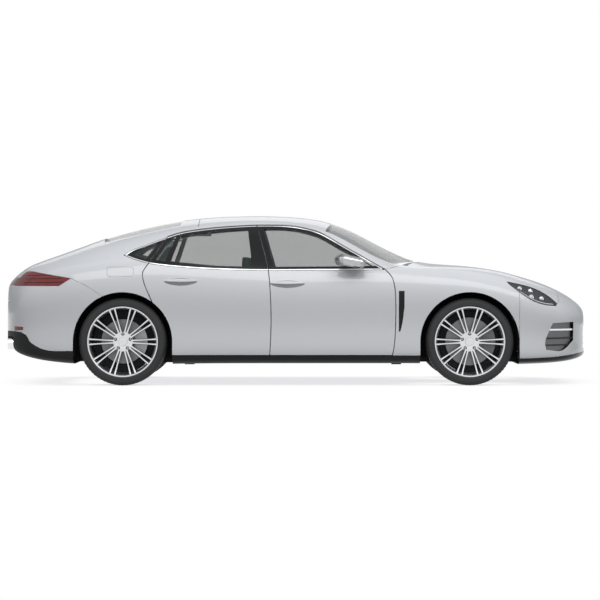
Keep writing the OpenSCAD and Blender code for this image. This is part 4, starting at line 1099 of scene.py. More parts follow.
    def solid(self, low: float = 0.0, high: float | None = None, steps: int | None = None,
              slot: int = 0) -> Object:
        """The whole form as one closed solid.

        Args:
            low: distance drawn in below the belt.
            high: distance drawn in above it, the same when left out.
            steps: fineness.
            slot: material number of its faces.

        Returns:
            The solid.
        """
        grid = self.sample(low, low if high is None else high, steps or self.steps)
        m, n = grid.shape[:2]
        number = np.arange(m * n).reshape(m, n)
        other = number + m * n
        other[0], other[-1] = number[0], number[-1]
        other[:, 0], other[:, -1] = number[:, 0], number[:, -1]
        points = np.concatenate([grid.reshape(-1, 3), grid.reshape(-1, 3) * (1.0, -1.0, 1.0)])
        faces = []
        for numbers, turn in ((number, 1), (other, -1)):
            a, b = numbers[:-1, :-1].ravel(), numbers[:-1, 1:].ravel()
            c, d = numbers[1:, 1:].ravel(), numbers[1:, :-1].ravel()
            quads = np.stack([a, b, c, d] if turn > 0 else [d, c, b, a], 1)
            faces += quads.tolist()
        made = new_object("form", points, faces, slot)

        def clean(bm: bmesh.types.BMesh) -> None:
            """Close the ends, where sections shrink to a line."""
            bmesh.ops.remove_doubles(bm, verts=bm.verts, dist=1e-5)
            bmesh.ops.delete(bm, geom=[v for v in bm.verts if not v.link_faces], context="VERTS")
            bmesh.ops.triangulate(bm, faces=bm.faces)

        edit(made, clean)
        return made

    def _section(self, x: float) -> np.ndarray:
        """Fine section at one place along the car."""
        xs = self.grid[:, 0, 0]
        i = int(np.clip(np.searchsorted(xs, x) - 1, 0, len(xs) - 2))
        t = (x - xs[i]) / max(xs[i + 1] - xs[i], 1e-9)
        return self.grid[i] + (self.grid[i + 1] - self.grid[i]) * t

    def skin_y(self, x: float, z: float) -> float:
        """Half width of the outside at a place in side view."""
        row = self._section(x)[16:]
        return float(np.interp(z, row[:, 2], row[:, 1]))

    def on_side(self, p: Point) -> Vector:
        """Point of the left side's skin at a place in side view."""
        return Vector((p[0], self.skin_y(*p), p[1]))

    def facing(self, p: Point) -> Vector:
        """Way the left side's skin faces at a place in side view."""
        e = 0.004
        dx = (self.skin_y(p[0] + e, p[1]) - self.skin_y(p[0] - e, p[1])) / (2 * e)
        dz = (self.skin_y(p[0], p[1] + e) - self.skin_y(p[0], p[1] - e)) / (2 * e)
        return Vector((-dx, 1.0, -dz)).normalized()

    def patch(self, outline: Sequence[Point], outer: float, inner: float) -> Object:
        """Piece of the left side between two depths.

        Args:
            outline: outline in side view.
            outer: depth of its outer face; negative stands proud.
            inner: depth of its inner face.

        Returns:
            The piece; its inner face has material number 1.
        """
        made = self.solid(outer)
        carve(made, prism(outline, Plane.SIDE, 0.0, 2 * self.half_width), Cut.KEEP)
        return carve(made, self.solid(inner, steps=self.plain, slot=1), Cut.REMOVE)

    def sweep(self, path: Sequence[Point], width: float, proud: float, sunk: float) -> Object:
        """Strip of trim along a line on the left side.

        Args:
            path: line in side view.
            width: width of the strip.
            proud: height above the skin.
            sunk: depth below it.

        Returns:
            The strip.
        """
        shape = [(-0.5, -sunk), (-0.5, proud * 0.4), (-0.3, proud * 0.9), (0.0, proud), (0.3, proud * 0.9),
                 (0.5, proud * 0.4), (0.5, -sunk)]
        points: list[Vector] = []
        spots = [self.on_side(p) for p in path]
        for i, (p, spot) in enumerate(zip(path, spots)):
            ahead = (spots[min(i + 1, len(spots) - 1)] - spots[max(i - 1, 0)]).normalized()
            out = self.facing(p)
            across = ahead.cross(out).normalized()
            points += [spot + across * (w * width) + out * h for w, h in shape]
        n = len(shape)
        faces: list[Sequence[int]] = [list(range(n)), list(range((len(path) - 1) * n, len(path) * n))[::-1]]
        return recalculate(new_object("strip", points, faces + tube_faces(len(path), n)))


# Outlines of the panels


def mirrored(points: Sequence[Point]) -> list[Point]:
    """Top-view points of the other side, in the opposite order."""
    return [(s, -w) for s, w in reversed(points)]


def across_middle(points: Sequence[Point]) -> list[Point]:
    """Line that runs from the right side over the centre line to the left.

    Args:
        points: left half, from the centre line outward.

    Returns:
        Whole line.
    """
    return mirrored(points[1:]) + list(points)


def as_edge(given: Any) -> Sequence[Point]:
    """Edge as it is given, or a single corner as an edge of one point."""
    return given if isinstance(given[0], tuple) else [given]


@dataclass
class Lines:
    """Outlines of the panels, by station and by share of the height or of the half width."""

    form: BodyForm
    gap: float = 0.0075
    seam: float = 0.0024
    arch_r: float = 0.412
    tyre_r: float = 0.363
    sill: float = 0.176
    door_front: tuple[Point, ...] = ((1.777, 0.176), (1.783, 0.25), (1.786, 0.36), (1.786, 0.5),
                                     (1.783, 0.58), (1.775, 0.635), (1.756, 0.679))
    door_top: tuple[Point, ...] = ((1.70, 0.745), (1.641, 0.813), (1.568, 0.897), (1.52, 0.925),
                                   (1.476, 0.938), (1.3816, 0.941), (1.267, 0.926), (1.1667, 0.898),
                                   (1.1264, 0.873))
    door_split: tuple[Point, ...] = ((1.384, 0.941), (1.403, 0.81), (1.4188, 0.677), (1.4255, 0.52),
                                     (1.4274, 0.369), (1.4235, 0.176))
    door_rear: tuple[Point, ...] = ((1.1264, 0.873), (1.075, 0.716), (1.058, 0.66), (1.061, 0.608),
                                    (1.09, 0.466))
    head: tuple[Point, ...] = ((2.3, 0.607), (2.397, 0.593), (2.517, 0.57), (2.638, 0.526), (2.719, 0.4775),
                               (2.7066, 0.464), (2.6137, 0.47), (2.517, 0.492), (2.429, 0.531),
                               (2.3325, 0.5814))
    behind_door: Point = (1.0, 0.2556)
    bumper_s: float = 2.402
    intake: tuple[Point, ...] = ((2.679, 0.3635), (2.86, 0.369), (2.86, 0.26), (2.759, 0.2014),
                                 (2.622, 0.207), (2.6137, 0.2516), (2.6625, 0.341))
    lip: tuple[Point, ...] = ((2.3, 0.155), (2.7, 0.165), (3.05, 0.195))
    tail: tuple[Point, ...] = ((0.582, 0.626), (0.4855, 0.5817), (-0.05, 0.5817), (-0.05, 0.66),
                               (0.252, 0.6655))
    bumper_top: tuple[Point, ...] = ((0.84, 0.52), (0.72, 0.578), (0.582, 0.626))
    diffuser: tuple[Point, ...] = ((0.7, 0.2), (0.59, 0.2014), (0.373, 0.207), (0.25, 0.2514), (0.196, 0.302),
                                   (-0.05, 0.313))
    vent: tuple[Point, ...] = ((1.795, 0.553), (1.8115, 0.553), (1.8115, 0.46), (1.805, 0.36), (1.8, 0.318),
                               (1.795, 0.314))
    bonnet_side: tuple[Point, ...] = ((2.925, 0), (2.885, 0.3), (2.8, 0.49), (2.68, 0.59), (2.5, 0.655),
                                      (2.26, 0.7), (2, 0.735), (1.82, 0.76))
    bonnet_rear: tuple[Point, ...] = ((1.865, 0), (1.855, 0.35), (1.82, 0.76))
    screen_foot: tuple[Point, ...] = ((1.85, 0), (1.835, 0.42), (1.785, 0.755))
    screen_side: tuple[Point, ...] = ((1.785, 0.755), (1.7, 0.7), (1.585, 0.6))
    roof_front: tuple[Point, ...] = ((1.604, 0), (1.6, 0.3), (1.585, 0.6))
    roof_side: tuple[Point, ...] = ((1.585, 0.6), (1.46, 0.575), (1.215, 0.6))
    gate_side: tuple[Point, ...] = ((1.215, 0.6), (1, 0.62), (0.6, 0.625), (0.3, 0.62), (-0.1, 0.62))
    gate_low: float = 0.49
    band_over: float = 0.0072
    rear_top: tuple[Point, ...] = ((1.165, 0), (1.16, 0.5))
    rear_side: tuple[Point, ...] = ((1.16, 0.5), (1.0, 0.545), (0.83, 0.53))
    rear_foot: tuple[Point, ...] = ((0.81, 0), (0.815, 0.3), (0.83, 0.53))

    def _side(self, *edges: Any) -> list[Point]:
        """Side-view outline of smooth edges and single corners."""
        return outline_of(*[self.form.side_line(as_edge(e)) for e in edges])

    def _top(self, *edges: Any) -> list[Point]:
        """Top-view outline of smooth edges and single corners."""
        return outline_of(*[self.form.top_line(as_edge(e)) for e in edges])

    def split_at(self) -> float:
        """Station of the line between the doors at its top."""
        return self.door_split[0][0]

    def top_front(self) -> list[Point]:
        """Shares along the top of the front door."""
        ahead = [p for p in self.door_top if p[0] > self.split_at()]
        return [self.door_front[-1], *ahead, self.door_split[0]]

    def top_rear(self) -> list[Point]:
        """Shares along the top of the rear door."""
        return [self.door_split[0], *[p for p in self.door_top if p[0] < self.split_at() - 0.01]]

    def front_door(self) -> list[Point]:
        """Outline of the front door before its gap."""
        return self._side(self.door_front, self.top_front(), self.door_split)

    def rear_door(self) -> list[Point]:
        """Outline of the rear door before its gap and the wheel arch."""
        return self._side(self.door_split[::-1], self.top_rear(), self.door_rear, self.behind_door,
                          (self.behind_door[0], self.sill))

    def both_doors(self) -> list[Point]:
        """Outline round both doors."""
        return self._side(self.door_front, self.top_front(), self.top_rear(), self.door_rear,
                          self.behind_door, (self.behind_door[0], self.sill))

    def body_side(self) -> list[Point]:
        """Outline of the fixed side: pillar, roof rail and rear quarter."""
        low, high = -0.1, 1.3
        return self._side((1.8, 0.7), self.top_front(), self.top_rear(), self.door_rear, (1, 0.3),
                          self.bumper_top, self.tail[4], (low, 0.667), (low, high), (1.8, high))

    def fender(self) -> list[Point]:
        """Outline of the front fender before lamp, arch and vent."""
        seam, head = self.bumper_s, self.head
        return self._side(self.door_front[::-1], (1.777, 0), (seam, 0), (seam, 0.545), head[9], head[:5],
                          (2.74, 0.49), (2.74, 1.3), (1.8, 1.3), (1.8, 0.7))

    def headlamp(self) -> list[Point]:
        """Outline of the headlamp."""
        return self._side(self.head[:5], self.head[5:])

    def front_bumper(self) -> list[Point]:
        """Outline of the front bumper before lamp and lip."""
        seam, head = self.bumper_s, self.head
        return self._side((seam, -0.1), [(seam, 0.545), *head[8:4:-1]], head[4], (2.74, 0.49), (2.74, 1.3),
                          (3.1, 1.3), (3.1, -0.1))

    def front_lip(self) -> list[Point]:
        """Area below the painted front bumper."""
        return self._side(self.lip, (self.lip[-1][0], -0.3), (self.lip[0][0], -0.3))

    def side_intake(self) -> list[Point]:
        """Outline of a side intake."""
        return self._side(self.intake[:2], self.intake[2:5], self.intake[4:])

    def rear_bumper(self) -> list[Point]:
        """Outline of the rear bumper before the arch."""
        return self._side((1, 0.256), self.bumper_top, self.tail[:2], (-0.1, 0.5817),
                          [(-0.1, 0.313), *self.diffuser[::-1][1:]], (0.7, 0), (1, 0))

    def rear_diffuser(self) -> list[Point]:
        """Area below the painted rear bumper."""
        return self._side(self.diffuser, (self.diffuser[-1][0], -0.3), (0.7, -0.3))

    def tail_lamp(self) -> list[Point]:
        """Outline of a tail lamp."""
        return self._side(*self.tail)

    def fender_vent(self) -> list[Point]:
        """Outline of the vent behind the front wheel."""
        return self._side(self.vent[:2], self.vent[2:5], self.vent[5])

    def bonnet(self) -> list[Point]:
        """Outline of the bonnet from above."""
        return self._top(across_middle(self.bonnet_rear), across_middle(self.bonnet_side)[::-1])

    def windscreen(self) -> list[Point]:
        """Outline of the windscreen from above."""
        return self._top(across_middle(self.screen_foot), self.screen_side,
                         across_middle(self.roof_front)[::-1], mirrored(self.screen_side))

    def cowl(self) -> list[Point]:
        """Outline of the panel between bonnet and windscreen."""
        foot, rear = across_middle(self.screen_foot), across_middle(self.bonnet_rear)
        return self._top(foot, rear[::-1])

    def roof(self) -> list[Point]:
        """Outline of the roof panel from above."""
        return self._top(across_middle(self.roof_front), self.roof_side, mirrored(self.roof_side))

    def tailgate(self) -> list[Point]:
        """Outline of the tailgate from above."""
        other = mirrored(self.gate_side)
        return self._top(other[-1], self.gate_side, other)

    def rear_screen(self) -> list[Point]:
        """Outline of the tailgate's glass from above."""
        return self._top(across_middle(self.rear_top), self.rear_side, across_middle(self.rear_foot)[::-1],
                         mirrored(self.rear_side))

    def front_window(self) -> list[Point]:
        """Outline of the front door's glass."""
        return self._side([(1.735, 0.699), (1.64, 0.789), (1.568, 0.869), (1.482, 0.912), (1.405, 0.917)],
                          [(1.436, 0.693), (1.6, 0.695), (1.735, 0.699)])

    def rear_windows(self) -> list[list[Point]]:
        """Outlines of the rear door's panes."""
        main = self._side([(1.359, 0.917), (1.27, 0.903), (1.165, 0.876)],
                          [(1.137, 0.722), (1.25, 0.7), (1.373, 0.693)])
        return [main, self._side((1.151, 0.871), (1.134, 0.858), (1.094, 0.733), (1.122, 0.725))]

    def quarter_window(self) -> list[Point]:
        """Outline of the fixed pane behind the rear door."""
        return self._side([(1.105, 0.84), (1.045, 0.795), (1.025, 0.767)], (1.066, 0.741))

    def strip_top(self) -> list[Point]:
        """Bright strip above the side windows, from the mirror to the tip of the quarter window."""
        drop = 0.0085
        shares = [(1.748, 0.680), *[(s, h - drop) for s, h in self.door_top[:-1]], (1.124, 0.862),
                  (1.062, 0.815), (1.026, 0.787), (1.006, 0.762)]
        return curve_through(self.form.side_line(shares), 10)

    def strip_belt(self) -> list[Point]:
        """Bright strip below the side windows, from the mirror to the tip of the quarter window."""
        shares = [(1.748, 0.680), (1.56, 0.678), (1.367, 0.677), (1.2, 0.69), (1.0807, 0.7157),
                  (1.0385, 0.738), (1.006, 0.762)]
        return curve_through(self.form.side_line(shares), 14)

    def window_band(self) -> list[Point]:
        """Whole area inside the bright strip."""
        return inset(self.strip_top()[:-1] + self.strip_belt()[::-1][:-1], -self.band_over)

    def arches(self, grow: float = 0.0) -> list[list[Point]]:
        """Openings of both wheel arches, down past the ground.

        Args:
            grow: distance added all round.

        Returns:
            Two outlines.
        """
        made = []
        for x in (self.form.front_axle, self.form.rear_axle):
            r = self.arch_r + grow
            made.append([(x + r, -0.2), *arc_over(x, self.tyre_r, r, 64), (x - r, -0.2)])
        return made


# Body


@dataclass
class Shell:
    """Fixed painted and dark panels of the body."""

    form: BodyForm
    lines: Lines
    looks: Finishes
    skin: float = 0.005
    side_t: float = 0.062
    roof_t: float = 0.036
    post_depths: tuple[float, float] = (0.0975, 0.0595)
    post_t: float = 0.040
    post_w: float = 0.090
    middle_intake: tuple[Point, Point] = ((-0.387, 0.284), (0.387, 0.490))
    intake_r: float = 0.03
    intake_in: float = 0.447
    tip_y: float = 0.6002

    def cut_tops(self, target: Object) -> None:
        """Take the areas of bonnet, screen, roof, cowl and tailgate out of a side panel.

        Args:
            target: panel to cut.
        """
        gap, seam, lines = self.lines.gap / 2, self.lines.seam / 2, self.lines
        for outline, grow in ((lines.bonnet(), gap), (lines.windscreen(), seam), (lines.roof(), seam),
                              (lines.cowl(), seam)):
            open_top(target, inset(outline, -grow))
        self.cut_tailgate(target)

    def cut_tailgate(self, target: Object) -> None:
        """Take the tailgate's space out of a panel."""
        grow = self.lines.gap / 2
        low = self.lines.gate_low * self.form.height - grow
        open_top(target, inset(self.lines.tailgate(), -grow), low)

    def cut_arches(self, target: Object, grow: float = 0.0) -> None:
        """Open the wheel arches of a panel."""
        for outline in self.lines.arches(grow):
            open_side(target, outline, -WIDE)

    def side_panel(self, outline: Sequence[Point], depth: float, whole: bool = False) -> Object:
        """Piece of the skin in a side-view outline.

        Args:
            outline: side-view outline.
            depth: thickness.
            whole: whether it runs across both sides of the car.

        Returns:
            The panel; its inner face has material number 1.
        """
        made = self.form.solid()
        carve(made, prism(outline, Plane.SIDE, -WIDE if whole else 0.0, WIDE), Cut.KEEP)
        carve(made, self.form.solid(depth, steps=self.form.plain, slot=1), Cut.REMOVE)
        return made

    def top_panel(self, outline: Sequence[Point], outer: float, thickness: float,
                  low: float = 0.61) -> Object:
        """Piece of the skin in a top-view outline.

        Args:
            outline: top-view outline.
            outer: depth of its outer face.
            thickness: thickness.
            low: height above which it starts.

        Returns:
            The panel; its inner face has material number 1.
        """
        made = self.form.solid(outer)
        carve(made, prism(outline, Plane.TOP, low, WIDE), Cut.KEEP)
        carve(made, self.form.solid(outer + thickness, steps=self.form.plain, slot=1), Cut.REMOVE)
        return made

    def posts(self) -> Object:
        """Inner posts and sill behind the left doors."""
        lines, form = self.lines, self.form
        low, high = self.post_depths
        made = form.solid(low, high, steps=form.plain, slot=1)
        carve(made, prism(inset(lines.both_doors(), -self.post_w / 2), Plane.SIDE, 0.0, WIDE, 1), Cut.KEEP)
        carve(made, form.solid(low + self.post_t, high + self.post_t, steps=form.plain, slot=1), Cut.REMOVE)
        sill = lines.sill * form.height
        band = strip_of(curve_through(form.side_line(lines.door_split)), 1.5 * self.post_w)
        for outline in (lines.front_door(), lines.rear_door()):
            hole = prism(inset(outline, self.post_w / 2), Plane.SIDE, 0.0, WIDE, 1)
            carve(hole, prism(band, Plane.SIDE, -0.1, WIDE + 0.1, 1), Cut.REMOVE)
            carve(hole, box_at((0, 1.0, sill + self.post_w - 0.5), (6, 3, 1)), Cut.REMOVE)
            carve(made, hole, Cut.REMOVE)
        self.cut_arches(made, 0.0345)
        end = form.side_line([(1.5, 0.69)])[0]
        for centre, size in (((0, 0, 0.0214), (6, 4, 0.4)), ((end[0] + 1.5, 0, end[1] + 0.5), (3.0, 4, 1.0)),
                             ((0, -0.245, 0.352), (6, 2.0, 1.0))):
            carve(made, box_at(centre, size), Cut.REMOVE)
        for window in (lines.front_window(), lines.rear_windows()[0]):
            open_side(made, window, slot=1)
        self.cut_tops(made)
        return made

    def build(self) -> None:
        """Make every fixed panel."""
        lines, form, looks = self.lines, self.form, self.looks
        seam = lines.seam / 2
        side = self.side_panel(inset(lines.body_side(), seam), self.side_t)
        open_side(side, inset(lines.both_doors(), -lines.gap / 2))
        self.cut_arches(side)
        open_side(side, lines.quarter_window(), slot=1)
        self.cut_tops(side)
        side = joined("side", [side, self.posts()])
        dress(pair("sides", side), "body_side_shells", "body", "paint", looks.paint, looks.trim,
              replaces=["body_sides"])

        fender = self.side_panel(inset(lines.fender(), seam), self.skin)
        open_side(fender, inset(lines.both_doors(), -lines.gap / 2))
        open_side(fender, inset(lines.headlamp(), -seam))
        open_side(fender, lines.fender_vent())
        carve(fender, box_at((0, 0, lines.sill * form.height - 1.0), (6, 4, 2.0)), Cut.REMOVE)
        self.cut_arches(fender)
        self.cut_tops(fender)
        dress(pair("fenders", fender), "fender_skins", "body", "paint", looks.paint, looks.trim,
              replaces=["fenders"])

        bumper = self.side_panel(inset(lines.front_bumper(), seam), self.skin, True)
        open_side(bumper, inset(lines.headlamp(), -seam), -WIDE)
        open_side(bumper, inset(lines.front_lip(), -seam), -WIDE)
        middle = rounded(*self.middle_intake, self.intake_r)
        carve(bumper, prism(middle, Plane.REAR, form.front_axle + lines.arch_r, 4.0, 1), Cut.REMOVE)
        for low, high in ((self.intake_in, WIDE), (-WIDE, -self.intake_in)):
            carve(bumper, prism(lines.side_intake(), Plane.SIDE, low, high, 1), Cut.REMOVE)
        self.cut_tops(bumper)
        dress(bumper, "front_bumper_skin", "body", "paint", looks.paint, looks.trim,
              replaces=["front_bumper"])

        lip = self.side_panel(inset(lines.front_lip(), seam), self.skin, True)
        carve(lip, box_at((form.x(lines.bumper_s) - 3.0 + seam, 0, 0), (6.0, 4, 4)), Cut.REMOVE)
        dress(lip, "front_lip_skin", "body", "dark", looks.gloss, looks.trim, replaces=["front_lip"])

        sill = lines.sill * form.height - lines.gap / 2
        skirt = self.side_panel([(form.rear_axle, -0.2), (form.front_axle, -0.2), (form.front_axle, sill),
                                 (form.rear_axle, sill)], self.skin)
        self.cut_arches(skirt)
        carve(skirt, box_at((0, -0.2643, 0), (6, 2.0, 2.0)), Cut.REMOVE)
        dress(pair("skirts", skirt), "side_skirt_skins", "body", "dark", looks.trim, looks.trim,
              replaces=["side_skirts"])

        rear = self.side_panel(inset(lines.rear_bumper(), seam), self.skin, True)
        open_side(rear, inset(lines.rear_diffuser(), -seam), -WIDE)
        self.cut_arches(rear)
        self.cut_tailgate(rear)
        dress(rear, "rear_bumper_skin", "body", "paint", looks.paint, looks.trim, replaces=["rear_bumper"])

        diffuser = self.side_panel(inset(lines.rear_diffuser(), seam), self.skin, True)
        self.cut_arches(diffuser)
        for side in Side:
            tips = box_at((form.x(0), side.value * self.tip_y, 0.17), (0.46, 0.2357, 0.46), 0.03, 3)
            carve(diffuser, tips, Cut.REMOVE)
        dress(diffuser, "rear_diffuser_skin", "body", "dark", looks.trim, looks.trim,
              replaces=["rear_diffuser"])

        roof = self.top_panel(inset(lines.roof(), seam), 0.0, self.roof_t)
        dress(roof, "roof_skin", "body", "paint", looks.paint, looks.cloth, replaces=["roof_panel"])
        cowl = self.top_panel(inset(lines.cowl(), seam), 0.038, 0.010)
        open_top(cowl, inset(lines.bonnet(), -0.0175))
        dress(cowl, "cowl_trough", "body", "dark", looks.trim, looks.trim, replaces=["cowl_panel"])


@dataclass
class Doors:
    """Four doors with their panes, trim, handles and mirrors."""

    form: BodyForm
    lines: Lines
    looks: Finishes
    depths: tuple[float, float] = (0.090, 0.052)
    flange_t: float = 0.010
    flange_in: float = 0.024
    pane: tuple[float, float] = (0.005, 0.010)
    strip_w: float = 0.0095
    handle_spans: tuple[tuple[Point, Point], ...] = (((1.429, 0.592), (1.52, 0.592)),
                                                     ((1.125, 0.608), (1.21, 0.602)))
    handle_rise: float = 0.030
    mirror_balls: tuple[Spot, ...] = ((1.635, 1.035, 0.735), (1.685, 1.03, 0.715), (1.64, 0.965, 0.73),
                                      (1.685, 0.96, 0.712))
    mirror_r: tuple[float, ...] = (0.048, 0.042, 0.046, 0.040)
    mirror_foot: Point = (1.69, 0.64)
    foot_r: float = 0.024
    hinges: tuple[Point, ...] = ((0.77793, 0.902982), (-0.254838, 0.904817))
    hinge_z: tuple[float, ...] = (0.5112, 0.7668)
    pocket_skin: float = 0.0016

    def leaf(self, outline: Sequence[Point], windows: Sequence[Sequence[Point]], hinge: Point) -> Object:
        """Hollow door with a thin outer edge.

        Args:
            outline: side-view outline before its gap.
            windows: outlines cut out of it.
            hinge: place of its upright pins in top view.

        Returns:
            The left door; its inner faces have material number 1.
        """
        lines, form = self.lines, self.form
        edge = inset(outline, lines.gap / 2)
        made = form.solid()
        carve(made, prism(edge, Plane.SIDE, 0.0, WIDE), Cut.KEEP)
        carve(made, form.solid(*self.depths, steps=form.plain, slot=1), Cut.REMOVE)
        back = form.solid(self.flange_t, steps=form.plain, slot=1)
        carve(back, prism(inset(edge, self.flange_in), Plane.SIDE, 0.0, WIDE + 0.1, 1), Cut.REMOVE)
        carve(made, back, Cut.REMOVE)
        for window in windows:
            open_side(made, window, slot=1)
        for arch in lines.arches():
            open_side(made, arch, -WIDE)
        for z in self.hinge_z:
            room = box_at((hinge[0] + 0.043, hinge[1] - 0.986, z), (0.134, 2.0, 0.087))
            carve(room, form.solid(self.pocket_skin, steps=form.plain, slot=1), Cut.KEEP)
            carve(made, room, Cut.REMOVE)
        return made

    def panes(self, windows: Sequence[Sequence[Point]]) -> Object:
        """Panes of a left door."""
        return joined("panes", [self.form.patch(inset(w, 0.0003), *self.pane) for w in windows])

    def band(self, owner: Sequence[Point], windows: Sequence[Sequence[Point]]) -> Object:
        """Black gloss area inside the bright strip, on one panel.

        Args:
            owner: outline of the panel.
            windows: panes left open.

        Returns:
            The left band.
        """
        made = self.form.patch(self.lines.window_band(), -0.0006, 0.004)
        carve(made, prism(inset(owner, self.lines.gap / 2), Plane.SIDE, 0.0, WIDE), Cut.KEEP)
        for window in windows:
            open_side(made, inset(window, 0.0002))
        return made

    def strips(self, owner: Sequence[Point]) -> Object:
        """Bright strip above and below the windows, on one panel.

        Args:
            owner: outline of the panel.

        Returns:
            The left strips.
        """
        clipped = prism(inset(owner, self.lines.gap / 2 + 0.0005), Plane.SIDE, 0.0, WIDE)
        top = self.form.sweep(self.lines.strip_top(), self.strip_w, 0.0035, 0.003)
        belt = self.form.sweep(self.lines.strip_belt(), self.strip_w, 0.0035, 0.003)
        carve(top, clipped, Cut.KEEP, keep_tool=True)
        carve(belt, clipped, Cut.KEEP)
        return joined("strips", [top, belt])

    def handle(self, span: tuple[Point, Point]) -> tuple[Object, Object]:
        """Lens-shaped grip over a dark lens of painted shade where its recess lies.

        Args:
            span: ends, by station and height share.

        Returns:
            The grip and the dark lens of painted recess shade.
        """
        rear, front = self.form.side_line(span)
        middle = ((rear[0] + front[0]) / 2, (rear[1] + front[1]) / 2)
        half = abs(front[0] - rear[0]) / 2 + 0.012
        lens = []
        for i in range(48):
            a = 2 * math.pi * i / 48
            rise = self.handle_rise * math.sin(a) * abs(math.sin(a)) ** 0.4
            lens.append((middle[0] + half * math.cos(a), middle[1] + rise))
        # Painted shade: no recess is cut; a thin dark lens just proud of the skin paints it.
        recess = self.form.patch(lens, -0.0008, 0.004)

        def build(bm: bmesh.types.BMesh) -> None:
            """Bend a ball along the skin."""
            bmesh.ops.create_uvsphere(bm, u_segments=48, v_segments=20, radius=1.0)
            for v in bm.verts:
                x, y, z = v.co
                px = middle[0] + (half + 0.006) * x
                pz = middle[1] + 0.010 + 0.0155 * z * (1 - 0.45 * x * x)
                v.co = (px, self.form.skin_y(px, pz) + 0.0035 + 0.0105 * y * (1 - 0.5 * x * x), pz)

        grip = new_object("grip", [], [])
        edit(grip, build)
        return grip, recess

    def mirror(self) -> tuple[Object, Object, Object]:
        """Left door mirror.

        Returns:
            Painted cap, dark lower part with its foot, and the glass.
        """
        form = self.form
        spots = [(form.x(s), w * form.half_width, h * form.height) for s, w, h in self.mirror_balls]
        balls = [(Matrix.Translation(spot), r) for spot, r in zip(spots, self.mirror_r)]
        shell = hull_of("shell", balls, 40, 24)
        x0, x1 = form.x(1.6), form.x(1.72)
        z0, z1 = 0.7055 * form.height, 0.692 * form.height
        lower = [(x0 - 0.1, z0), (x0 + 0.1, z0 - 0.004), (x1 + 0.1, z1 - 0.012), (x1 + 0.1, 0.5),
                 (x0 - 0.1, 0.5)]
        face = form.x(1.6285)

        def cut(target: Object, x: float) -> None:
            """Take away a metre of a piece, about one place along the car."""
            carve(target, box_at((x, 1.0, 1.0), (1.0, 0.3, 0.4)), Cut.REMOVE)

        cap = copy_of(shell, "cap")
        open_side(cap, lower)
        cut(cap, face - 0.5)
        foot_x, foot_z = form.x(self.mirror_foot[0]), self.mirror_foot[1] * form.height
        ends = (((foot_x, form.skin_y(foot_x, foot_z) - 0.006, foot_z + 0.012), self.foot_r, 0.010),
                ((form.x(1.672), 0.965 * form.half_width, 0.712 * form.height), 0.026, 0.012))
        balls = [(Matrix.Translation(centre) @ Matrix.Diagonal((1.6, 1.0, t / r * 1.6, 1.0)), r)
                 for centre, r, t in ends]
        foot = hull_of("foot", balls, 24, 14)
        dark = copy_of(shell, "dark")
        carve(dark, prism(lower, Plane.SIDE, 0.0, WIDE), Cut.KEEP)
        cut(dark, face - 0.5)
        carve(dark, foot, Cut.JOIN)
        glass = copy_of(shell, "glass")
        cut(glass, face + 0.499)
        cut(glass, face - 0.5 - 0.0035)
        remove(shell)
        return cap, dark, glass

    @staticmethod
    def hang(pieces: Sequence[Piece], row: str, prefix: str) -> None:
        """Put pieces on the left door of a row and their mirror images on the right one.

        Args:
            pieces: object, name, slot, name of the solid it stands for or nothing, and materials of each.
            row: front or rear.
            prefix: words before the side in the names.
        """
        for side in Side:
            tail = f"{prefix}{side.word}"
            for obj, name, slot, node, *materials in pieces:
                made = copy_of(obj, name, flip=side is Side.RIGHT)
                dress(made, f"{name}_{tail}", f"door_{row}_{side.word}", slot, *materials,
                      replaces=[f"{node}_{tail}"] if node else [])
        remove(*(piece[0] for piece in pieces))

    def build(self) -> None:
        """Make both sides from the left one."""
        lines, looks = self.lines, self.looks
        doors = (("front", lines.front_door(), [lines.front_window()]),
                 ("rear", lines.rear_door(), lines.rear_windows()))
        for number, (row, outline, windows) in enumerate(doors):
            grip, recess = self.handle(self.handle_spans[number])
            leaf = self.leaf(outline, windows, self.hinges[number])
            self.hang(((leaf, "door_panel", "paint", "door", looks.paint, looks.trim),
                       (self.panes(windows), "door_pane", "glass", "glass", looks.glass),
                       (self.band(outline, windows), "window_band", "dark", "", looks.gloss),
                       (self.strips(outline), "window_strip", "bright", "", looks.bright),
                       (grip, "handle", "paint", "", looks.paint),
                       # The handle recess is painted shade: a dark patch, not a hollow.
                       (recess, "handle_recess", "dark", "", looks.recess)), row, f"{row}_")
        cap, dark, glass = self.mirror()
        self.hang(((dark, "mirror_base", "dark", "mirror", looks.gloss),
                   (cap, "mirror_cap", "paint", "", looks.paint),
                   (glass, "mirror_glass", "bright", "", looks.bright)), "front", "")
        owner, window = lines.body_side(), lines.quarter_window()
        pane = self.form.patch(inset(window, 0.0003), *self.pane)
        for name, made, slot, material, replaced in (
                ("quarter_pane", pane, "glass", looks.glass, ["quarter_glass"]),
                ("quarter_band", self.band(owner, [window]), "dark", looks.gloss, []),
                ("quarter_strip", self.strips(owner), "bright", looks.bright, [])):
            dress(pair(name, made), name, "body", slot, material, replaces=replaced)


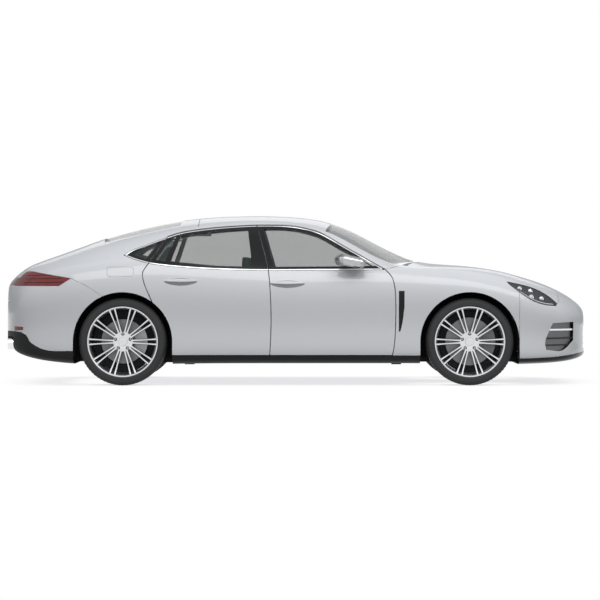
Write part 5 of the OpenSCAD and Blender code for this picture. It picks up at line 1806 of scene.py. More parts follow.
@dataclass
class Lids:
    """Bonnet, tailgate and the large panes."""

    form: BodyForm
    lines: Lines
    looks: Finishes
    shell: Shell
    bonnet_t: float = 0.028
    gate_t: float = 0.036
    strip_z: tuple[float, float] = (0.585, 0.628)
    strip_t: float = 0.014
    bonnet_pin: tuple[float, float, float, float] = (0.94935, 0.639848, 0.976033, 0.134)
    gate_pin: tuple[float, float, float, float] = (-0.86855, 0.15004, 1.3591, 0.134)
    corner_spot: Spot = (-0.835, 0.59, 1.256)
    corner_room: Spot = (0.07, 0.056, 0.112)

    @staticmethod
    def pockets(lid: Object, x: float, y: float, z: float, run: float) -> None:
        """Make room below a lid for its two hinges.

        Args:
            lid: lid to cut.
            x: place of the pins along the car.
            y: distance of a hinge from the middle.
            z: height of the pins.
            run: length of the room.
        """
        for sign in (1, -1):
            room = box_at((x, sign * y, z + 0.014 - 0.5), (run, 0.087, 1.0))
            room.data.polygons.foreach_set("material_index", [1] * len(room.data.polygons))
            carve(lid, room, Cut.REMOVE)

    def strip_space(self, grow: float) -> Object:
        """Space of the light strip across the tailgate, larger above and below by a distance."""
        low, high = (z * self.form.height for z in self.strip_z)
        y = 0.62 * self.form.half_width
        return prism([(-y, low - grow), (y, low - grow), (y, high + grow), (-y, high + grow)], Plane.REAR,
                     self.form.x(0) - 0.5, self.form.x(0.3))

    def build(self) -> None:
        """Make both lids, their panes and the light strip."""
        lines, form, looks = self.lines, self.form, self.looks
        gap, seam = lines.gap / 2, lines.seam / 2
        bonnet = self.shell.top_panel(inset(lines.bonnet(), gap), 0.0, self.bonnet_t)
        self.pockets(bonnet, *self.bonnet_pin)
        dress(bonnet, "bonnet_skin", "bonnet", "paint", looks.paint, looks.trim, replaces=["bonnet"])

        low = lines.gate_low * form.height + gap
        gate_outline = inset(lines.tailgate(), gap)
        gate = self.shell.top_panel(gate_outline, 0.0, self.gate_t, low)
        open_top(gate, lines.rear_screen(), slot=1)
        self.pockets(gate, *self.gate_pin)
        space = self.strip_space(0.001)
        carve(space, form.solid(self.strip_t + 0.001, steps=form.plain), Cut.REMOVE)
        carve(gate, space, Cut.REMOVE)
        x, y, z = self.corner_spot
        for side in Side:
            carve(gate, box_at((x, y * side.value, z), self.corner_room), Cut.REMOVE)
        dress(gate, "tailgate_skin", "tailgate", "paint", looks.paint, looks.cloth, replaces=["tailgate"])

        strip = form.solid(0.001)
        carve(strip, self.strip_space(0.0), Cut.KEEP)
        carve(strip, prism(inset(gate_outline, 0.001), Plane.TOP, -1.0, WIDE), Cut.KEEP)
        carve(strip, form.solid(self.strip_t, steps=form.plain), Cut.REMOVE)
        dress(strip, "tail_light_bar", "tailgate", "red", looks.red, replaces=["light_strip"])

        pane = self.shell.top_panel(inset(lines.rear_screen(), seam), 0.005, 0.005)
        dress(pane, "tailgate_pane", "tailgate", "glass", looks.glass, looks.glass,
              replaces=["tailgate_glass"])
        screen = self.shell.top_panel(inset(lines.windscreen(), seam), 0.0025, 0.005)
        dress(screen, "windscreen_pane", "body", "glass", looks.screen, looks.screen, replaces=["windscreen"])


@dataclass
class Lamps:
    """Headlamps, tail lamps, reflectors and the parts behind the intakes."""

    form: BodyForm
    lines: Lines
    looks: Finishes
    bucket: tuple[float, float] = (0.0045, 0.070)
    floor_depth: float = 0.034
    rim: float = 0.007
    spots: tuple[Point, ...] = ((2.412, 0.568), (2.502, 0.5535), (2.508, 0.519), (2.594, 0.5085))
    spot_r: float = 0.021
    guide: tuple[Point, ...] = ((2.33, 0.588), (2.43, 0.5425), (2.517, 0.5045), (2.6137, 0.4825),
                                (2.69, 0.4765))
    lamp_lines: tuple[tuple[Point, Point], ...] = (((0.52, 0.604), (0.19, 0.600)),
                                                   ((0.50, 0.626), (0.20, 0.622)),
                                                   ((0.42, 0.646), (0.21, 0.643)))
    reflector: tuple[Point, Point] = ((-2.357, 0.454), (-2.275, 0.490))
    blades: tuple[tuple[float, float, bool], ...] = ((0.4605, 0.007, True), (0.389, 0.0045, False),
                                                     (0.333, 0.0045, False))
    fins: int = 7
    flap: tuple[Point, Point] = ((-1.571, 0.905), (-1.348, 0.9846))
    flap_r: float = 0.022
    flap_line: float = 0.0028

    def headlamps(self) -> None:
        """Dark bucket with four projectors behind a clear cover."""
        form, looks, outline = self.form, self.looks, self.lines.headlamp()
        bucket = form.patch(inset(outline, self.lines.seam / 2), *self.bucket)
        hollow = form.patch(inset(outline, self.rim), -0.01, self.floor_depth)
        carve(bucket, hollow, Cut.REMOVE)
        cover = form.patch(inset(outline, self.lines.seam / 2), 0.001, 0.004)
        rings, lenses, r = [], [], self.spot_r
        for x, z in form.side_line(self.spots):
            spot = Matrix.Translation((x, form.skin_y(x, z) - 0.024, z)) @ self.aim(x, z)
            ring = lathe([(r * 0.72, -0.016), (r, -0.016), (r, 0.004), (r * 0.86, 0.006), (r * 0.72, 0.0)],
                         32)
            lens = lathe([(0.0, -0.006), (r * 0.71, -0.006), (r * 0.66, 0.0), (r * 0.4, 0.005),
                          (0.0, 0.007)], 32)
            rings.append(place(ring, spot))
            lenses.append(place(lens, spot))
        guide = form.sweep(curve_through(form.side_line(self.guide), 8), 0.0045, -0.012, 0.020)
        for name, made, slot, material, replaced in (
                ("headlamp_buckets", bucket, "dark", looks.gloss, ["headlamps"]),
                ("headlamp_covers", cover, "lamp", looks.clear, []),
                ("headlamp_rings", joined("rings", rings), "bright", looks.bright, []),
                ("headlamp_lenses", joined("lenses", lenses), "lamp", looks.led, []),
                ("headlamp_guides", guide, "lamp", looks.led, [])):
            dress(pair(name, made), name, "body", slot, material, replaces=replaced)

    def aim(self, x: float, z: float) -> Matrix:
        """Turn a lens from its axis +Y half way between the skin's direction and straight ahead."""
        out = (self.form.facing((x, z)) * 0.6 + Vector((0.8, 0, 0))).normalized()
        return Vector((0, 1, 0)).rotation_difference(out).to_matrix().to_4x4()

    def tail_lamps(self) -> None:
        """Red lamps with dark lines, and the reflectors below."""
        form, looks = self.form, self.looks
        outline = inset(self.lines.tail_lamp(), self.lines.seam / 2)
        lamp = form.patch(outline, 0.001, 0.060)
        for_gate = prism(inset(self.lines.tailgate(), -self.lines.gap / 2), Plane.TOP,
                         self.lines.gate_low * form.height, WIDE)
        carve(lamp, for_gate, Cut.REMOVE, keep_tool=True)
        dress(pair("tail", lamp), "tail_lamp_lenses", "body", "red", looks.red, replaces=["tail_lamps"])
        lines, steps = [], 14
        for (s0, z0), (s1, z1) in self.lamp_lines:
            path = [(s0 + (s1 - s0) * i / steps, z0 + (z1 - z0) * i / steps) for i in range(steps + 1)]
            lines.append(form.sweep(form.side_line(path), 0.005, 0.0004, 0.004))
        bars = joined("bars", lines)
        carve(bars, for_gate, Cut.REMOVE)
        dress(pair("bars", bars), "tail_lamp_lines", "body", "dark", looks.gloss)
        (x0, z0), (x1, z1) = self.reflector
        spot = form.patch([(x0, z0), (x1, z0 + 0.006), (x1, z1 - 0.006), (x0, z1)], -0.0012, 0.003)
        dress(pair("spots", spot), "rear_reflectors", "body", "red", looks.red)

    def grille(self) -> None:
        """Dark band and blades behind the intakes, and fins in the fender vents."""
        form, looks, lines = self.form, self.looks, self.lines
        side = form.side_line([(2.56, 0.19), (3.1, 0.19), (3.1, 0.378), (2.62, 0.375)])
        band = form.solid(0.016, steps=form.plain)
        carve(band, prism(side, Plane.SIDE, -WIDE, WIDE), Cut.KEEP)
        carve(band, form.solid(0.024, steps=form.plain), Cut.REMOVE)
        dress(band, "intake_mesh", "body", "dark", looks.recess, replaces=["front_grille"])
        for number, (z, half, shiny) in enumerate(self.blades):
            blade = form.solid(0.0053)
            bar = [(2.02, z - half), (2.6, z - half), (2.6, z + half), (2.02, z + half)]
            carve(blade, prism(bar, Plane.SIDE, -WIDE, WIDE), Cut.KEEP)
            carve(blade, form.solid(0.0165, steps=form.plain), Cut.REMOVE)
            slot, material = ("bright", looks.bright) if shiny else ("dark", looks.gloss)
            dress(blade, f"intake_blade_{number}", "body", slot, material)
        vent = lines.fender_vent()
        back = form.patch(inset(vent, -0.004), 0.0052, 0.012)
        fins = []
        for i in range(self.fins):
            z = (0.345 + 0.03 * i) * form.height
            path = [(form.x(1.794), z), (form.x(1.803), z + 0.002), (form.x(1.8125), z + 0.006)]
            fins.append(form.sweep(path, 0.0045, -0.001, 0.006))
        trimmed = joined("fins", fins)
        carve(trimmed, prism(inset(vent, 0.0005), Plane.SIDE, 0.0, WIDE), Cut.KEEP)
        for name, made in (("vent_backs", back), ("vent_fins", trimmed)):
            dress(pair(name, made), name, "body", "dark", looks.trim)

    def fuel_flap(self) -> None:
        """Joint line of the fuel flap, on the right side only."""
        path = rounded(*self.flap, self.flap_r)
        ring = self.form.patch(path, -0.0002, 0.003)
        open_side(ring, inset(path, self.flap_line))
        flipped = copy_of(ring, "flap", flip=True)
        remove(ring)
        dress(flipped, "fuel_flap_joint", "body", "dark", self.looks.recess)

    def build(self) -> None:
        """Make all lamps and intakes."""
        self.headlamps()
        self.tail_lamps()
        self.grille()
        self.fuel_flap()


# Wheels


@dataclass
class Wheels:
    """Four wheels with tyres and brake discs, each turned about the axis Y."""

    form: BodyForm
    looks: Finishes
    front_w: float = 0.275
    rear_w: float = 0.315
    front_y: float = 0.792884
    rear_y: float = 0.7845
    rim_r: float = 0.29403
    seat_r: float = 0.276
    barrel_r: float = 0.266
    tyre_r: float = 0.363
    dish: float = 0.044
    hub_r: float = 0.084
    cap_r: float = 0.036
    bolt_circle: float = 0.065
    bolt_r: float = 0.011
    spokes: int = 10
    spoke_t: float = 0.030
    disc_front_r: float = 0.200
    disc_rear_r: float = 0.18525
    disc_t: float = 0.034
    hat_r: float = 0.092
    shield_r: float = 0.2605
    front_eye: float = 0.142
    rear_eye: float = 0.085
    bolts: int = 5
    groove_shares: tuple[float, ...] = (0.62, 0.22)
    groove_half: float = 0.0055
    groove_depth: float = 0.0075
    blocks: int = 72
    drilled: int = 18

    def centre(self, axle: str, side: Side) -> Vector:
        """Middle of a wheel, by its axle's name and its side."""
        front = axle == "front"
        x, y = (self.form.front_axle, self.front_y) if front else (self.form.rear_axle, self.rear_y)
        return Vector((x, y * side.value, self.tyre_r))

    def barrel(self, half: float) -> Object:
        """Rim with a rounded outer lip.

        Args:
            half: half width of the rim.

        Returns:
            The rim.
        """
        b, s, r = self.barrel_r, self.seat_r, self.rim_r
        return lathe([(b, -half), (r - 0.0015, -half), (r, -half + 0.002), (r, -half + 0.008),
                      (r - 0.002, -half + 0.01), (s, -half + 0.013), (s, half - 0.013),
                      (r - 0.002, half - 0.01), (r, half - 0.008),
                      (r, half - 0.0018), (r - 0.0018, half), (r - 0.0085, half), (r - 0.0125, half - 0.003),
                      (r - 0.0165, half - 0.010), (b + 0.004, half - 0.022), (b, half - 0.040)], 128)

    def blade(self, half: float, sign: int, face: bool) -> Object:
        """One arm of a twin spoke, along +X.

        Args:
            half: half width of the rim.
            sign: which arm of the two.
            face: whether to make the thin machined face or the body behind it.

        Returns:
            The arm.
        """
        steps, points = 12, []
        for i in range(steps + 1):
            t = i / steps
            r = 0.070 + (self.rim_r - 0.0135 - 0.070) * t
            middle = sign * (0.0095 + 0.0125 * t ** 1.1)
            wide = 0.0088 - 0.0022 * math.sin(math.pi * t) - 0.0004 * t
            front = half - self.dish + (self.dish - 0.0075) * t ** 1.6
            if face:
                ring = [(-wide + 0.0013, 0.0), (-wide + 0.002, 0.0012), (wide - 0.002, 0.0012),
                        (wide - 0.0013, 0.0)]
            else:
                ring = [(-wide * 0.75, -self.spoke_t), (-wide, -0.0015), (-wide + 0.0012, 0.0),
                        (wide - 0.0012, 0.0), (wide, -0.0015), (wide * 0.75, -self.spoke_t)]
            points += [(r, front + y, middle + z) for z, y in ring]
        n = len(ring)
        ends = [tuple(range(n))[::-1], tuple(steps * n + k for k in range(n))]
        return recalculate(new_object("blade", points, tube_faces(steps + 1, n) + ends))

    def tyre(self, width: float) -> Object:
        """Tyre with round shoulders and four grooves.

        Args:
            width: width of the tyre.

        Returns:
            The tyre.
        """
        half, r0, r1 = width / 2, self.rim_r, self.tyre_r
        lip = half - 0.014 - 0.0103
        mid = (r0 + r1) / 2
        outer = [(self.seat_r + 0.0003, lip), (r0 + 0.0003, lip), (r0 + 0.0003, half - 0.007),
                 (r0 + 0.005, half - 0.0035), (r0 + 0.009, half - 0.0022), (r0 + 0.0105, half - 0.0008),
                 (r0 + 0.016, half - 0.0008), (r0 + 0.0175, half - 0.0018), (mid, half - 0.0006),
                 (mid + 0.008, half - 0.0018), (r1 - 0.0285, half - 0.0062), (r1 - 0.020, half - 0.0125),
                 (r1 - 0.0128, half - 0.0185), (r1 - 0.0078, half - 0.0245), (r1 - 0.0035, half - 0.034),
                 (r1 - 0.001, half - 0.045)]
        tread = []
        for share in self.groove_shares:
            y, g, d = share * (half - 0.048), self.groove_half, self.groove_depth
            tread += [(r1, y + g + 0.0006), (r1 - 0.0008, y + g), (r1 - d, y + g * 0.8),
                      (r1 - d, y - g * 0.8), (r1 - 0.0008, y - g), (r1, y - g - 0.0006)]
        ring = outer + tread
        return lathe(ring + [(r, -y) for r, y in reversed(ring)], 160)

    def disc(self, radius: float) -> Object:
        """Brake disc with its hat; the outer face looks along +Y.

        Args:
            radius: radius of the disc.

        Returns:
            The disc.
        """
        t, h, r = self.disc_t / 2, self.hat_r, radius
        return lathe([(0.03, t), (0.03, 0.034), (h - 0.004, 0.034), (h, 0.030), (h, t), (r - 0.0015, t),
                      (r, t - 0.0015), (r, 0.006), (r - 0.012, 0.006), (r - 0.012, -0.006), (r, -0.006),
                      (r, 0.0015 - t), (r - 0.0015, -t), (h - 0.02, -t), (h - 0.02, t)], 96)

    def rim(self, half: float, pattern: Pattern) -> list[Piece]:
        """Pieces of a rim.

        Args:
            half: its half width.
            pattern: tree for the pieces that repeat.

        Returns:
            Object, name, slot, material and solid that it stands for, of each piece.
        """
        looks, inner = self.looks, half - self.dish
        barrel = self.barrel(half)
        h, c = self.hub_r, self.cap_r
        hub = lathe([(0.0, 0.0345), (0.060, 0.0345), (0.074, inner - 0.03), (h - 0.002, inner - 0.012),
                     (h, inner - 0.004), (h - 0.003, inner), (0.050, inner + 0.001), (c + 0.002, inner - 0.003),
                     (0.0, inner - 0.003)], 80)
        arms, faces = (pattern.ring(joined("arms", [self.blade(half, sign, face) for sign in (1, -1)]),
                                    self.spokes, material)
                       for face, material in ((False, looks.recess), (True, looks.alloy)))
        b, wide = self.bolt_r, self.bolt_r + 0.0035
        # Painted shade: no recess is cut round the bolts; a dark ring under each bolt, proud of the hub, paints
        # it.
        shade_ring = lathe([(0.0, inner - 0.004), (wide, inner - 0.004), (wide, inner + 0.0012),
                     (0.0, inner + 0.0012)], 24)
        bolt = lathe([(0.0, inner), (b * 0.8, inner), (b * 0.8, inner + 0.0016), (b * 0.5, inner + 0.0026),
                      (0.0, inner + 0.0026)], 6)
        out = Matrix.Translation((0, 0, self.bolt_circle))
        shade_rings = pattern.ring(place(shade_ring, out), self.bolts, looks.trim)
        bolts = pattern.ring(place(bolt, out), self.bolts, looks.steel)
        cap = lathe([(0.0, inner - 0.002), (c, inner - 0.002), (c, inner + 0.003),
                     (c - 0.002, inner + 0.0048), (c - 0.006, inner + 0.0052), (0.0, inner + 0.0062)], 64)
        return [(barrel, "rim_barrel", "alloy", looks.alloy, "wheel"),
                (hub, "rim_hub", "alloy", looks.alloy, ""),
                (arms, "rim_arms", "alloy", looks.recess, ""),
                (faces, "rim_faces", "alloy", looks.alloy, ""),
                (shade_rings, "rim_bolt_pits", "dark", looks.trim, ""),
                (bolts, "rim_bolts", "steel", looks.steel, ""),
                (cap, "rim_cap", "bright", looks.alloy, "")]

    def rubber(self, width: float, pattern: Pattern) -> list[Piece]:
        """Tyre and the blocks of its shoulders.

        Args:
            width: width of the tyre.
            pattern: tree for the pieces that repeat.

        Returns:
            The same list as for the rim.
        """
        tyre, looks = self.tyre(width), self.looks
        block = box_at((0, 0, 0), (0.011, 0.020, 0.005), 0.0012, 1)
        spot = Matrix.Translation((0, width / 2 - 0.0345, self.tyre_r - 0.0062))
        place(block, spot @ Matrix.Rotation(math.radians(22), 4, "X"))
        blocks = pattern.ring(pair("blocks", block), self.blocks, looks.rubber)
        return [(tyre, "tyre_tread", "tyre", looks.rubber, "tyre"),
                (blocks, "tyre_blocks", "tyre", looks.rubber, "")]

    def brake(self, radius: float, pattern: Pattern) -> list[Piece]:
        """Brake disc, and a dark spot at each drilled hole that paints the hole's shade.

        Args:
            radius: radius of the disc.
            pattern: tree for the pieces that repeat.

        Returns:
            The same list as for the rim.
        """
        disc, looks, face = self.disc(radius), self.looks, self.disc_t / 2
        row = []
        # Painted shade: nothing is drilled; a thin dark disc on the face stands at each hole.
        for i in range(3):
            hole = lathe([(0.0, face - 0.002), (0.004, face - 0.002), (0.004, face + 0.0003),
                          (0.0, face + 0.0003)], 12)
            out = Matrix.Translation((0, 0, 0.118 + 0.026 * i))
            row.append(place(hole, Matrix.Rotation(0.12 * i, 4, "Y") @ out))
        holes = pattern.ring(joined("holes", row), self.drilled, looks.recess)
        # looks.disc is steel darkened with painted shade for the shadow inside the wheel.
        return [(disc, "brake_disc", "iron", looks.disc, "disc"),
                (holes, "brake_disc_holes", "dark", looks.recess, "")]

    def one(self, axle: str, side: Side) -> None:
        """Wheel, tyre and disc at one corner.

        Args:
            axle: front or rear.
            side: side of the car.
        """
        front, name = axle == "front", f"{axle}_{side.word}"
        width = self.front_w if front else self.rear_w
        pattern = Pattern()
        pieces = self.rim(width / 2 - 0.014, pattern) + self.rubber(width, pattern)
        pieces += self.brake(self.disc_front_r if front else self.disc_rear_r, pattern)
        for obj, word, slot, material, node in pieces:
            made = copy_of(obj, word, flip=side is Side.RIGHT)
            remove(obj)
            place(made, Matrix.Translation(self.centre(axle, side)))
            dress(made, f"{word}_{name}", f"wheel_{name}", slot, material,
                  replaces=[f"{node}_{name}"] if node else [])

    def build(self) -> None:
        """Make all four corners."""
        for axle in ("front", "rear"):
            for side in Side:
                self.one(axle, side)
                self.shield(axle, side)

    def shield(self, axle: str, side: Side) -> None:
        """Thin sheet that keeps dirt off the inner face of a brake disc.

        Args:
            axle: front or rear.
            side: side of the car.
        """
        front = axle == "front"
        r, eye = self.shield_r, self.front_eye if front else self.rear_eye
        sheet = lathe([(eye, -0.0265), (r - 0.02, -0.0265), (r, -0.034), (r, -0.0355), (r - 0.021, -0.028),
                       (eye, -0.028)], 72)
        made = copy_of(sheet, "sheet", flip=side is Side.RIGHT)
        remove(sheet)
        place(made, Matrix.Translation(self.centre(axle, side)))
        body = f"steering_{side.word}" if front else "body"
        dress(made, f"brake_shield_{axle}_{side.word}", body, "dark", self.looks.trim)


# Cabin


@dataclass
class Cabin:
    """Padded seats; the dashboard keeps its solid."""

    form: BodyForm
    looks: Finishes
    floor_z: float = 0.22108
    length: float = 0.56
    width: float = 0.470
    front_h: float = 0.85
    rear_h: float = 0.76
    front_s: float = 1.46
    rear_s: float = 1.175
    front_y: float = 0.370
    rear_y: float = 0.346
    fill: float = 0.6

    def pad(self, corners: Sequence[Point], y: float, crown: float, narrow: float = 1.0) -> Object:
        """Soft pad with a rounded, crowned skin.

        Args:
            corners: four side-view corners, in order round the pad.
            y: place of its middle across the car.
            crown: bulge of its faces.
            narrow: share of the seat's width.

        Returns:
            The pad, subdivided.
        """
        n = 10
        low, high = np.array(corners[:2]), np.array([corners[3], corners[2]])
        half = self.width * narrow / 2
        points: list[Spot] = []
        index: dict[tuple[int, int, int], int] = {}
        for i in range(n + 1):
            for j in range(n + 1):
                for k in range(5):
                    if 0 < i < n and 0 < j < n and 0 < k < 4:
                        continue
                    u, v, w = i / n, j / n, k / 4
                    a = low[0] + (low[1] - low[0]) * u
                    b = high[0] + (high[1] - high[0]) * u
                    p = a + (b - a) * w
                    across = (b - a) / max(np.linalg.norm(b - a), 1e-6)
                    swell = math.sin(math.pi * u) ** 0.6 * math.sin(math.pi * v) ** 0.6
                    bulge = crown * swell * (w - 0.5) * 2
                    side = crown * 1.6 * max(0.0, abs(2 * v - 1) - 0.55) * (1 if w > 0.5 else 0)
                    p = p + across * (bulge + side * math.sin(math.pi * u))
                    index[i, j, k] = len(points)
                    points.append((float(p[0]), y + (2 * v - 1) * half, float(p[1])))

        def quad(start: Sequence[int], one: Sequence[int], two: Sequence[int]) -> list[int]:
            """Face that starts at a corner and runs along two directions."""
            return [index[tuple(s + a * p + b * q for s, p, q in zip(start, one, two))]
                    for a, b in ((0, 0), (1, 0), (1, 1), (0, 1))]

        along, wide, thick = (1, 0, 0), (0, 1, 0), (0, 0, 1)
        faces = []
        for i in range(n):
            faces += [quad((i, j, k), along, wide) for j in range(n) for k in (0, 4)]
            faces += [quad((i, j, k), along, thick) for k in range(4) for j in (0, n)]
        for j in range(n):
            faces += [quad((i, j, k), wide, thick) for k in range(4) for i in (0, n)]
        made = recalculate(new_object("pad", points, faces))
        modifier = made.modifiers.new("soft", "SUBSURF")
        modifier.levels = modifier.render_levels = 2
        return baked(made)

    def seat(self, x: float, y: float, height: float, label: str, replaced: list[str]) -> None:
        """Cushion, back, headrest and base of one seat.

        Args:
            x: place along the car.
            y: place across the car.
            height: height of the seat.
            label: row and side, for the names.
            replaced: solids that its base stands for.
        """
        def at(px: float, pz: float) -> Point:
            """Side-view point by shares of the seat's length and height."""
            return (x + px * self.length, self.floor_z + pz * height)

        cushion = self.pad([at(-0.46, 0.09), at(0.5, 0.10), at(0.515, 0.285), at(-0.3, 0.205)], y, 0.012)
        back = self.pad([at(-0.65, 0.26), at(-0.585, 0.80), at(-0.425, 0.785), at(-0.225, 0.2)], y, 0.014)
        head = self.pad([at(-0.60, 0.82), at(-0.605, 0.995), at(-0.50, 0.99), at(-0.475, 0.82)], y, 0.010,
                        0.56)
        post_x, post_z = at(-0.535, 0.80)
        posts = []
        for sign in (1, -1):
            post = lathe([(0.0, -0.06), (0.007, -0.06), (0.007, 0.06), (0.0, 0.06)], 16)
            spot = Matrix.Translation((post_x, y + sign * 0.05, post_z))
            posts.append(place(post, spot @ Matrix.Rotation(math.pi / 2, 4, "X")))
        base = box_at((x, y, self.floor_z + 0.05 * height),
                      (0.98 * self.length, self.width * 0.9, 0.10 * height), 0.012, 2)
        frame = joined("frame", [base, *posts])
        dress(frame, f"seat_frame_{label}", "body", "dark", self.looks.trim, replaces=replaced)
        for word, obj in (("cushion", cushion), ("back", back), ("headrest", head)):
            dress(obj, f"seat_{word}_{label}", "body", "seat", self.looks.leather)

    def build(self) -> None:
        """Make four seats."""
        for row, s, y, height in (("front", self.front_s, self.front_y, self.front_h),
                                  ("rear", self.rear_s, self.rear_y, self.rear_h)):
            for side in Side:
                replaced = [f"{row}_seats"] if side is Side.LEFT else []
                self.seat(self.form.x(s), y * side.value, height, f"{row}_{side.word}", replaced)


# Studio


def face(obj: Object, spot: Spot, aim: Spot) -> Object:
    """Put a light or camera at a spot and turn it towards a point."""
    obj.location = spot
    obj.rotation_euler = (Vector(aim) - Vector(spot)).to_track_quat("-Z", "Y").to_euler()
    return obj


@dataclass
class Studio:
    """Pale floor, soft light and the camera of the photograph."""

    eye: Spot = (0.0305, -23.5, 1.0)
    target: Spot = (0.0305, -0.95, 0.71)
    lens: float = 163.5
    floor_size: float = 60.0
    sky: float = 0.75
    white: Colour = (1.0, 1.0, 1.0)
    far_side: Colour = (0.36, 0.37, 0.385)
    horizon: Colour = (0.30, 0.305, 0.315)
    zenith: Colour = (0.66, 0.68, 0.71)

    def floor(self) -> None:
        """Floor with a painted contact shadow near the car, from ambient occlusion in the colour that camera,
        glossy and transmission rays see, and white further away.
        """
        size = self.floor_size
        corners = [(-size, -size, 0), (size, -size, 0), (size, size, 0), (-size, size, 0)]
        plane = new_object("studio_floor", corners, [(0, 1, 2, 3)])
        g = Graph("studio_floor_paper")
        # Painted shadow: ambient occlusion darkens the floor's emission under and round the car.
        open_sky = g.term(g.node("ShaderNodeAmbientOcclusion", {"samples": 8}, {"Distance": 0.35}), "AO")
        shade = g.ramp(open_sky, [(0.0, (0.60, 0.60, 0.62)), (0.5, (0.93, 0.93, 0.94)), (0.9, self.white)])
        paper = g.node("ShaderNodeBsdfDiffuse", None, {"Color": (0.20, 0.20, 0.20, 1.0)})
        white = g.node("ShaderNodeEmission", None, {"Color": shade, "Strength": 1.0})
        ray = g.node("ShaderNodeLightPath")
        seen = g.term(ray, "Is Camera Ray").call("MAXIMUM", g.term(ray, "Is Transmission Ray"))
        seen = seen.call("MAXIMUM", g.term(ray, "Is Glossy Ray"))
        mix = g.node("ShaderNodeMixShader", None, {0: seen, 1: g.term(paper), 2: g.term(white)})
        plane.data.materials.append(g.close(mix))

    @staticmethod
    def light(name: str, spot: Spot, aim: Spot, size: Point, power: float) -> None:
        """Soft rectangular light.

        Args:
            name: name of the light.
            spot: its place.
            aim: point that it faces.
            size: its two sides.
            power: its power in watts.
        """
        data = bpy.data.lights.new(name, "AREA")
        data.shape, data.size, data.size_y, data.energy = "RECTANGLE", size[0], size[1], power
        face(linked(name, data), spot, aim)

    def world(self) -> None:
        """White for the camera and the near side's reflections, soft grey light for all else."""
        g = Graph("studio_world", world=True)
        spot = g.term(g.node("ShaderNodeTexCoord"), "Generated")
        split = g.node("ShaderNodeSeparateXYZ", None, {0: spot})
        sky = g.ramp(g.term(split, "Z"), [(0.0, self.horizon), (1.0, self.zenith)])
        side = g.ramp(g.term(split, "Y"), [(0.0, self.white), (0.4, self.far_side)])
        parts = ((sky, self.sky), (side, 1.0), ((*self.white, 1.0), 1.0))
        soft, shine, plain = (g.term(g.node("ShaderNodeBackground", None, {"Color": c, "Strength": power}))
                              for c, power in parts)
        ray = g.node("ShaderNodeLightPath")
        seen = g.term(ray, "Is Camera Ray").call("MAXIMUM", g.term(ray, "Is Transmission Ray"))
        glossy = g.term(ray, "Is Glossy Ray")
        lit = g.term(g.node("ShaderNodeMixShader", None, {0: glossy, 1: soft, 2: shine}))
        bpy.context.scene.world = g.close(g.node("ShaderNodeMixShader", None, {0: seen, 1: lit, 2: plain}))

    def build(self) -> None:
        """Set floor, lights, world and camera."""
        self.floor()
        self.world()
        self.light("overhead_softbox", (0.0, 0.2, 5.2), (0.0, 0.0, 0.6), (7.5, 2.4), 6.0)
        self.light("near_softbox", (1.0, -5.6, 5.6), (0.3, -0.8, 0.7), (11.0, 2.8), 325.0)
        self.light("far_softbox", (0.0, 6.0, 3.4), (0.0, 0.6, 0.8), (8.0, 2.2), 40.0)
        data = bpy.data.cameras.new("photo_camera")
        data.lens, data.sensor_width, data.clip_end = self.lens, 36.0, 200.0
        bpy.context.scene.camera = face(linked("photo_camera", data), self.eye, self.target)
        bpy.context.scene.view_settings.view_transform = "Standard"


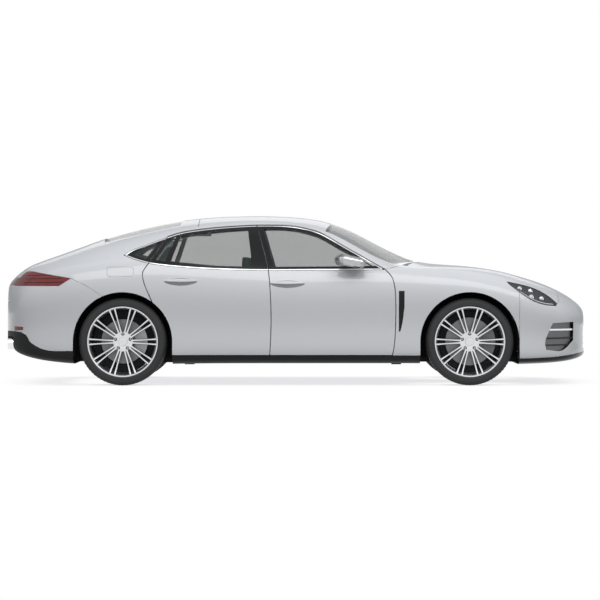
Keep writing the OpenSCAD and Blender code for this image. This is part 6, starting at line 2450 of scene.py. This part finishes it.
@dataclass
class Underside:
    """Solids kept as they are, with a finish each, and what closes the wheel wells."""

    form: BodyForm
    looks: Finishes
    nodes: dict[str, Object]
    hinge_depth: float = 0.0030
    front_wall_y: float = 0.436
    rear_wall_y: float = 0.588
    wall_r: float = 0.428
    wall_t: float = 0.002
    wall_low: float = 0.19
    axle_z: float = 0.363
    swing: tuple[Point, ...] = ((-0.004, 0.03), (0.06, 0.03), (0.06, -0.03), (0.0165, -0.046), (-0.004, 0.0))
    fork_half: float = 0.06

    def make_room(self, forks: Object) -> None:
        """Cut the lower forks where the leading edges of the doors swing in.

        Args:
            forks: solid of the fixed forks.
        """
        low, high = Doors.hinge_z[0] - self.fork_half, Doors.hinge_z[0] + self.fork_half
        for x, y in Doors.hinges:
            bite = prism([(x + a, y + b) for a, b in self.swing], Plane.TOP, low, high)
            carve(forks, copy_of(bite, "right", flip=True), Cut.REMOVE)
            carve(forks, bite, Cut.REMOVE)

    def hinges(self) -> None:
        """Door hinges, kept behind the skin at the waist of the doors."""
        owners = {"door_hinge_forks": "body"}
        for tail in (f"{row}_{side.word}" for row in ("front", "rear") for side in Side):
            owners[f"hinges_{tail}"] = f"door_{tail}"
        for node, body in owners.items():
            made = copy_of(self.nodes[node], "hinge")
            edit(made, lambda bm: bmesh.ops.remove_doubles(bm, verts=bm.verts, dist=1e-5))
            carve(recalculate(made), self.form.solid(self.hinge_depth), Cut.KEEP)
            if body == "body":
                self.make_room(made)
            dress(made, f"{node}_trimmed", body, "steel", self.looks.steel, replaces=[node])

    def walls(self) -> None:
        """Inner walls of the wheel wells."""
        r, low = self.wall_r, self.wall_low
        for word, x, y in (("front", self.form.front_axle, self.front_wall_y),
                           ("rear", self.form.rear_axle, self.rear_wall_y)):
            outline = [(x + r, low), *arc_over(x, self.axle_z, r, 32), (x - r, low)]
            plate = prism(outline, Plane.SIDE, y - self.wall_t, y)
            dress(pair("walls", plate), f"wheel_well_walls_{word}", "body", "dark", self.looks.cloth)

    def build(self) -> None:
        """Give every kept solid its material."""
        looks = self.looks
        self.hinges()
        self.walls()
        kept = {"floor_pan": looks.trim, "wheel_linings": looks.cloth, "front_subframe": looks.steel,
                "rear_subframe": looks.steel, "engine_block": looks.iron, "exhaust": looks.bright,
                "dashboard": looks.trim, "lid_hinge_forks": looks.steel, "bonnet_hinges": looks.steel,
                "tailgate_hinges": looks.steel, "knuckle_front_left": looks.iron,
                "knuckle_front_right": looks.iron}
        for name, material in kept.items():
            obj = self.nodes[name]
            obj.data.materials.clear()
            obj.data.materials.append(material)
            LOG.info("kept solid %s", name)


def main() -> None:
    """Build the whole car in its studio."""
    logging.basicConfig(level=logging.INFO, stream=sys.stdout, format="%(message)s")
    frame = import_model()
    looks = Finishes()
    form = BodyForm()
    lines = Lines(form)
    shell = Shell(form, lines, looks)
    shell.build()
    Doors(form, lines, looks).build()
    Lids(form, lines, looks, shell).build()
    Lamps(form, lines, looks).build()
    Wheels(form, looks).build()
    Cabin(form, looks).build()
    Underside(form, looks, frame["nodes"]).build()
    Studio().build()


if __name__ == "__main__":
    main()
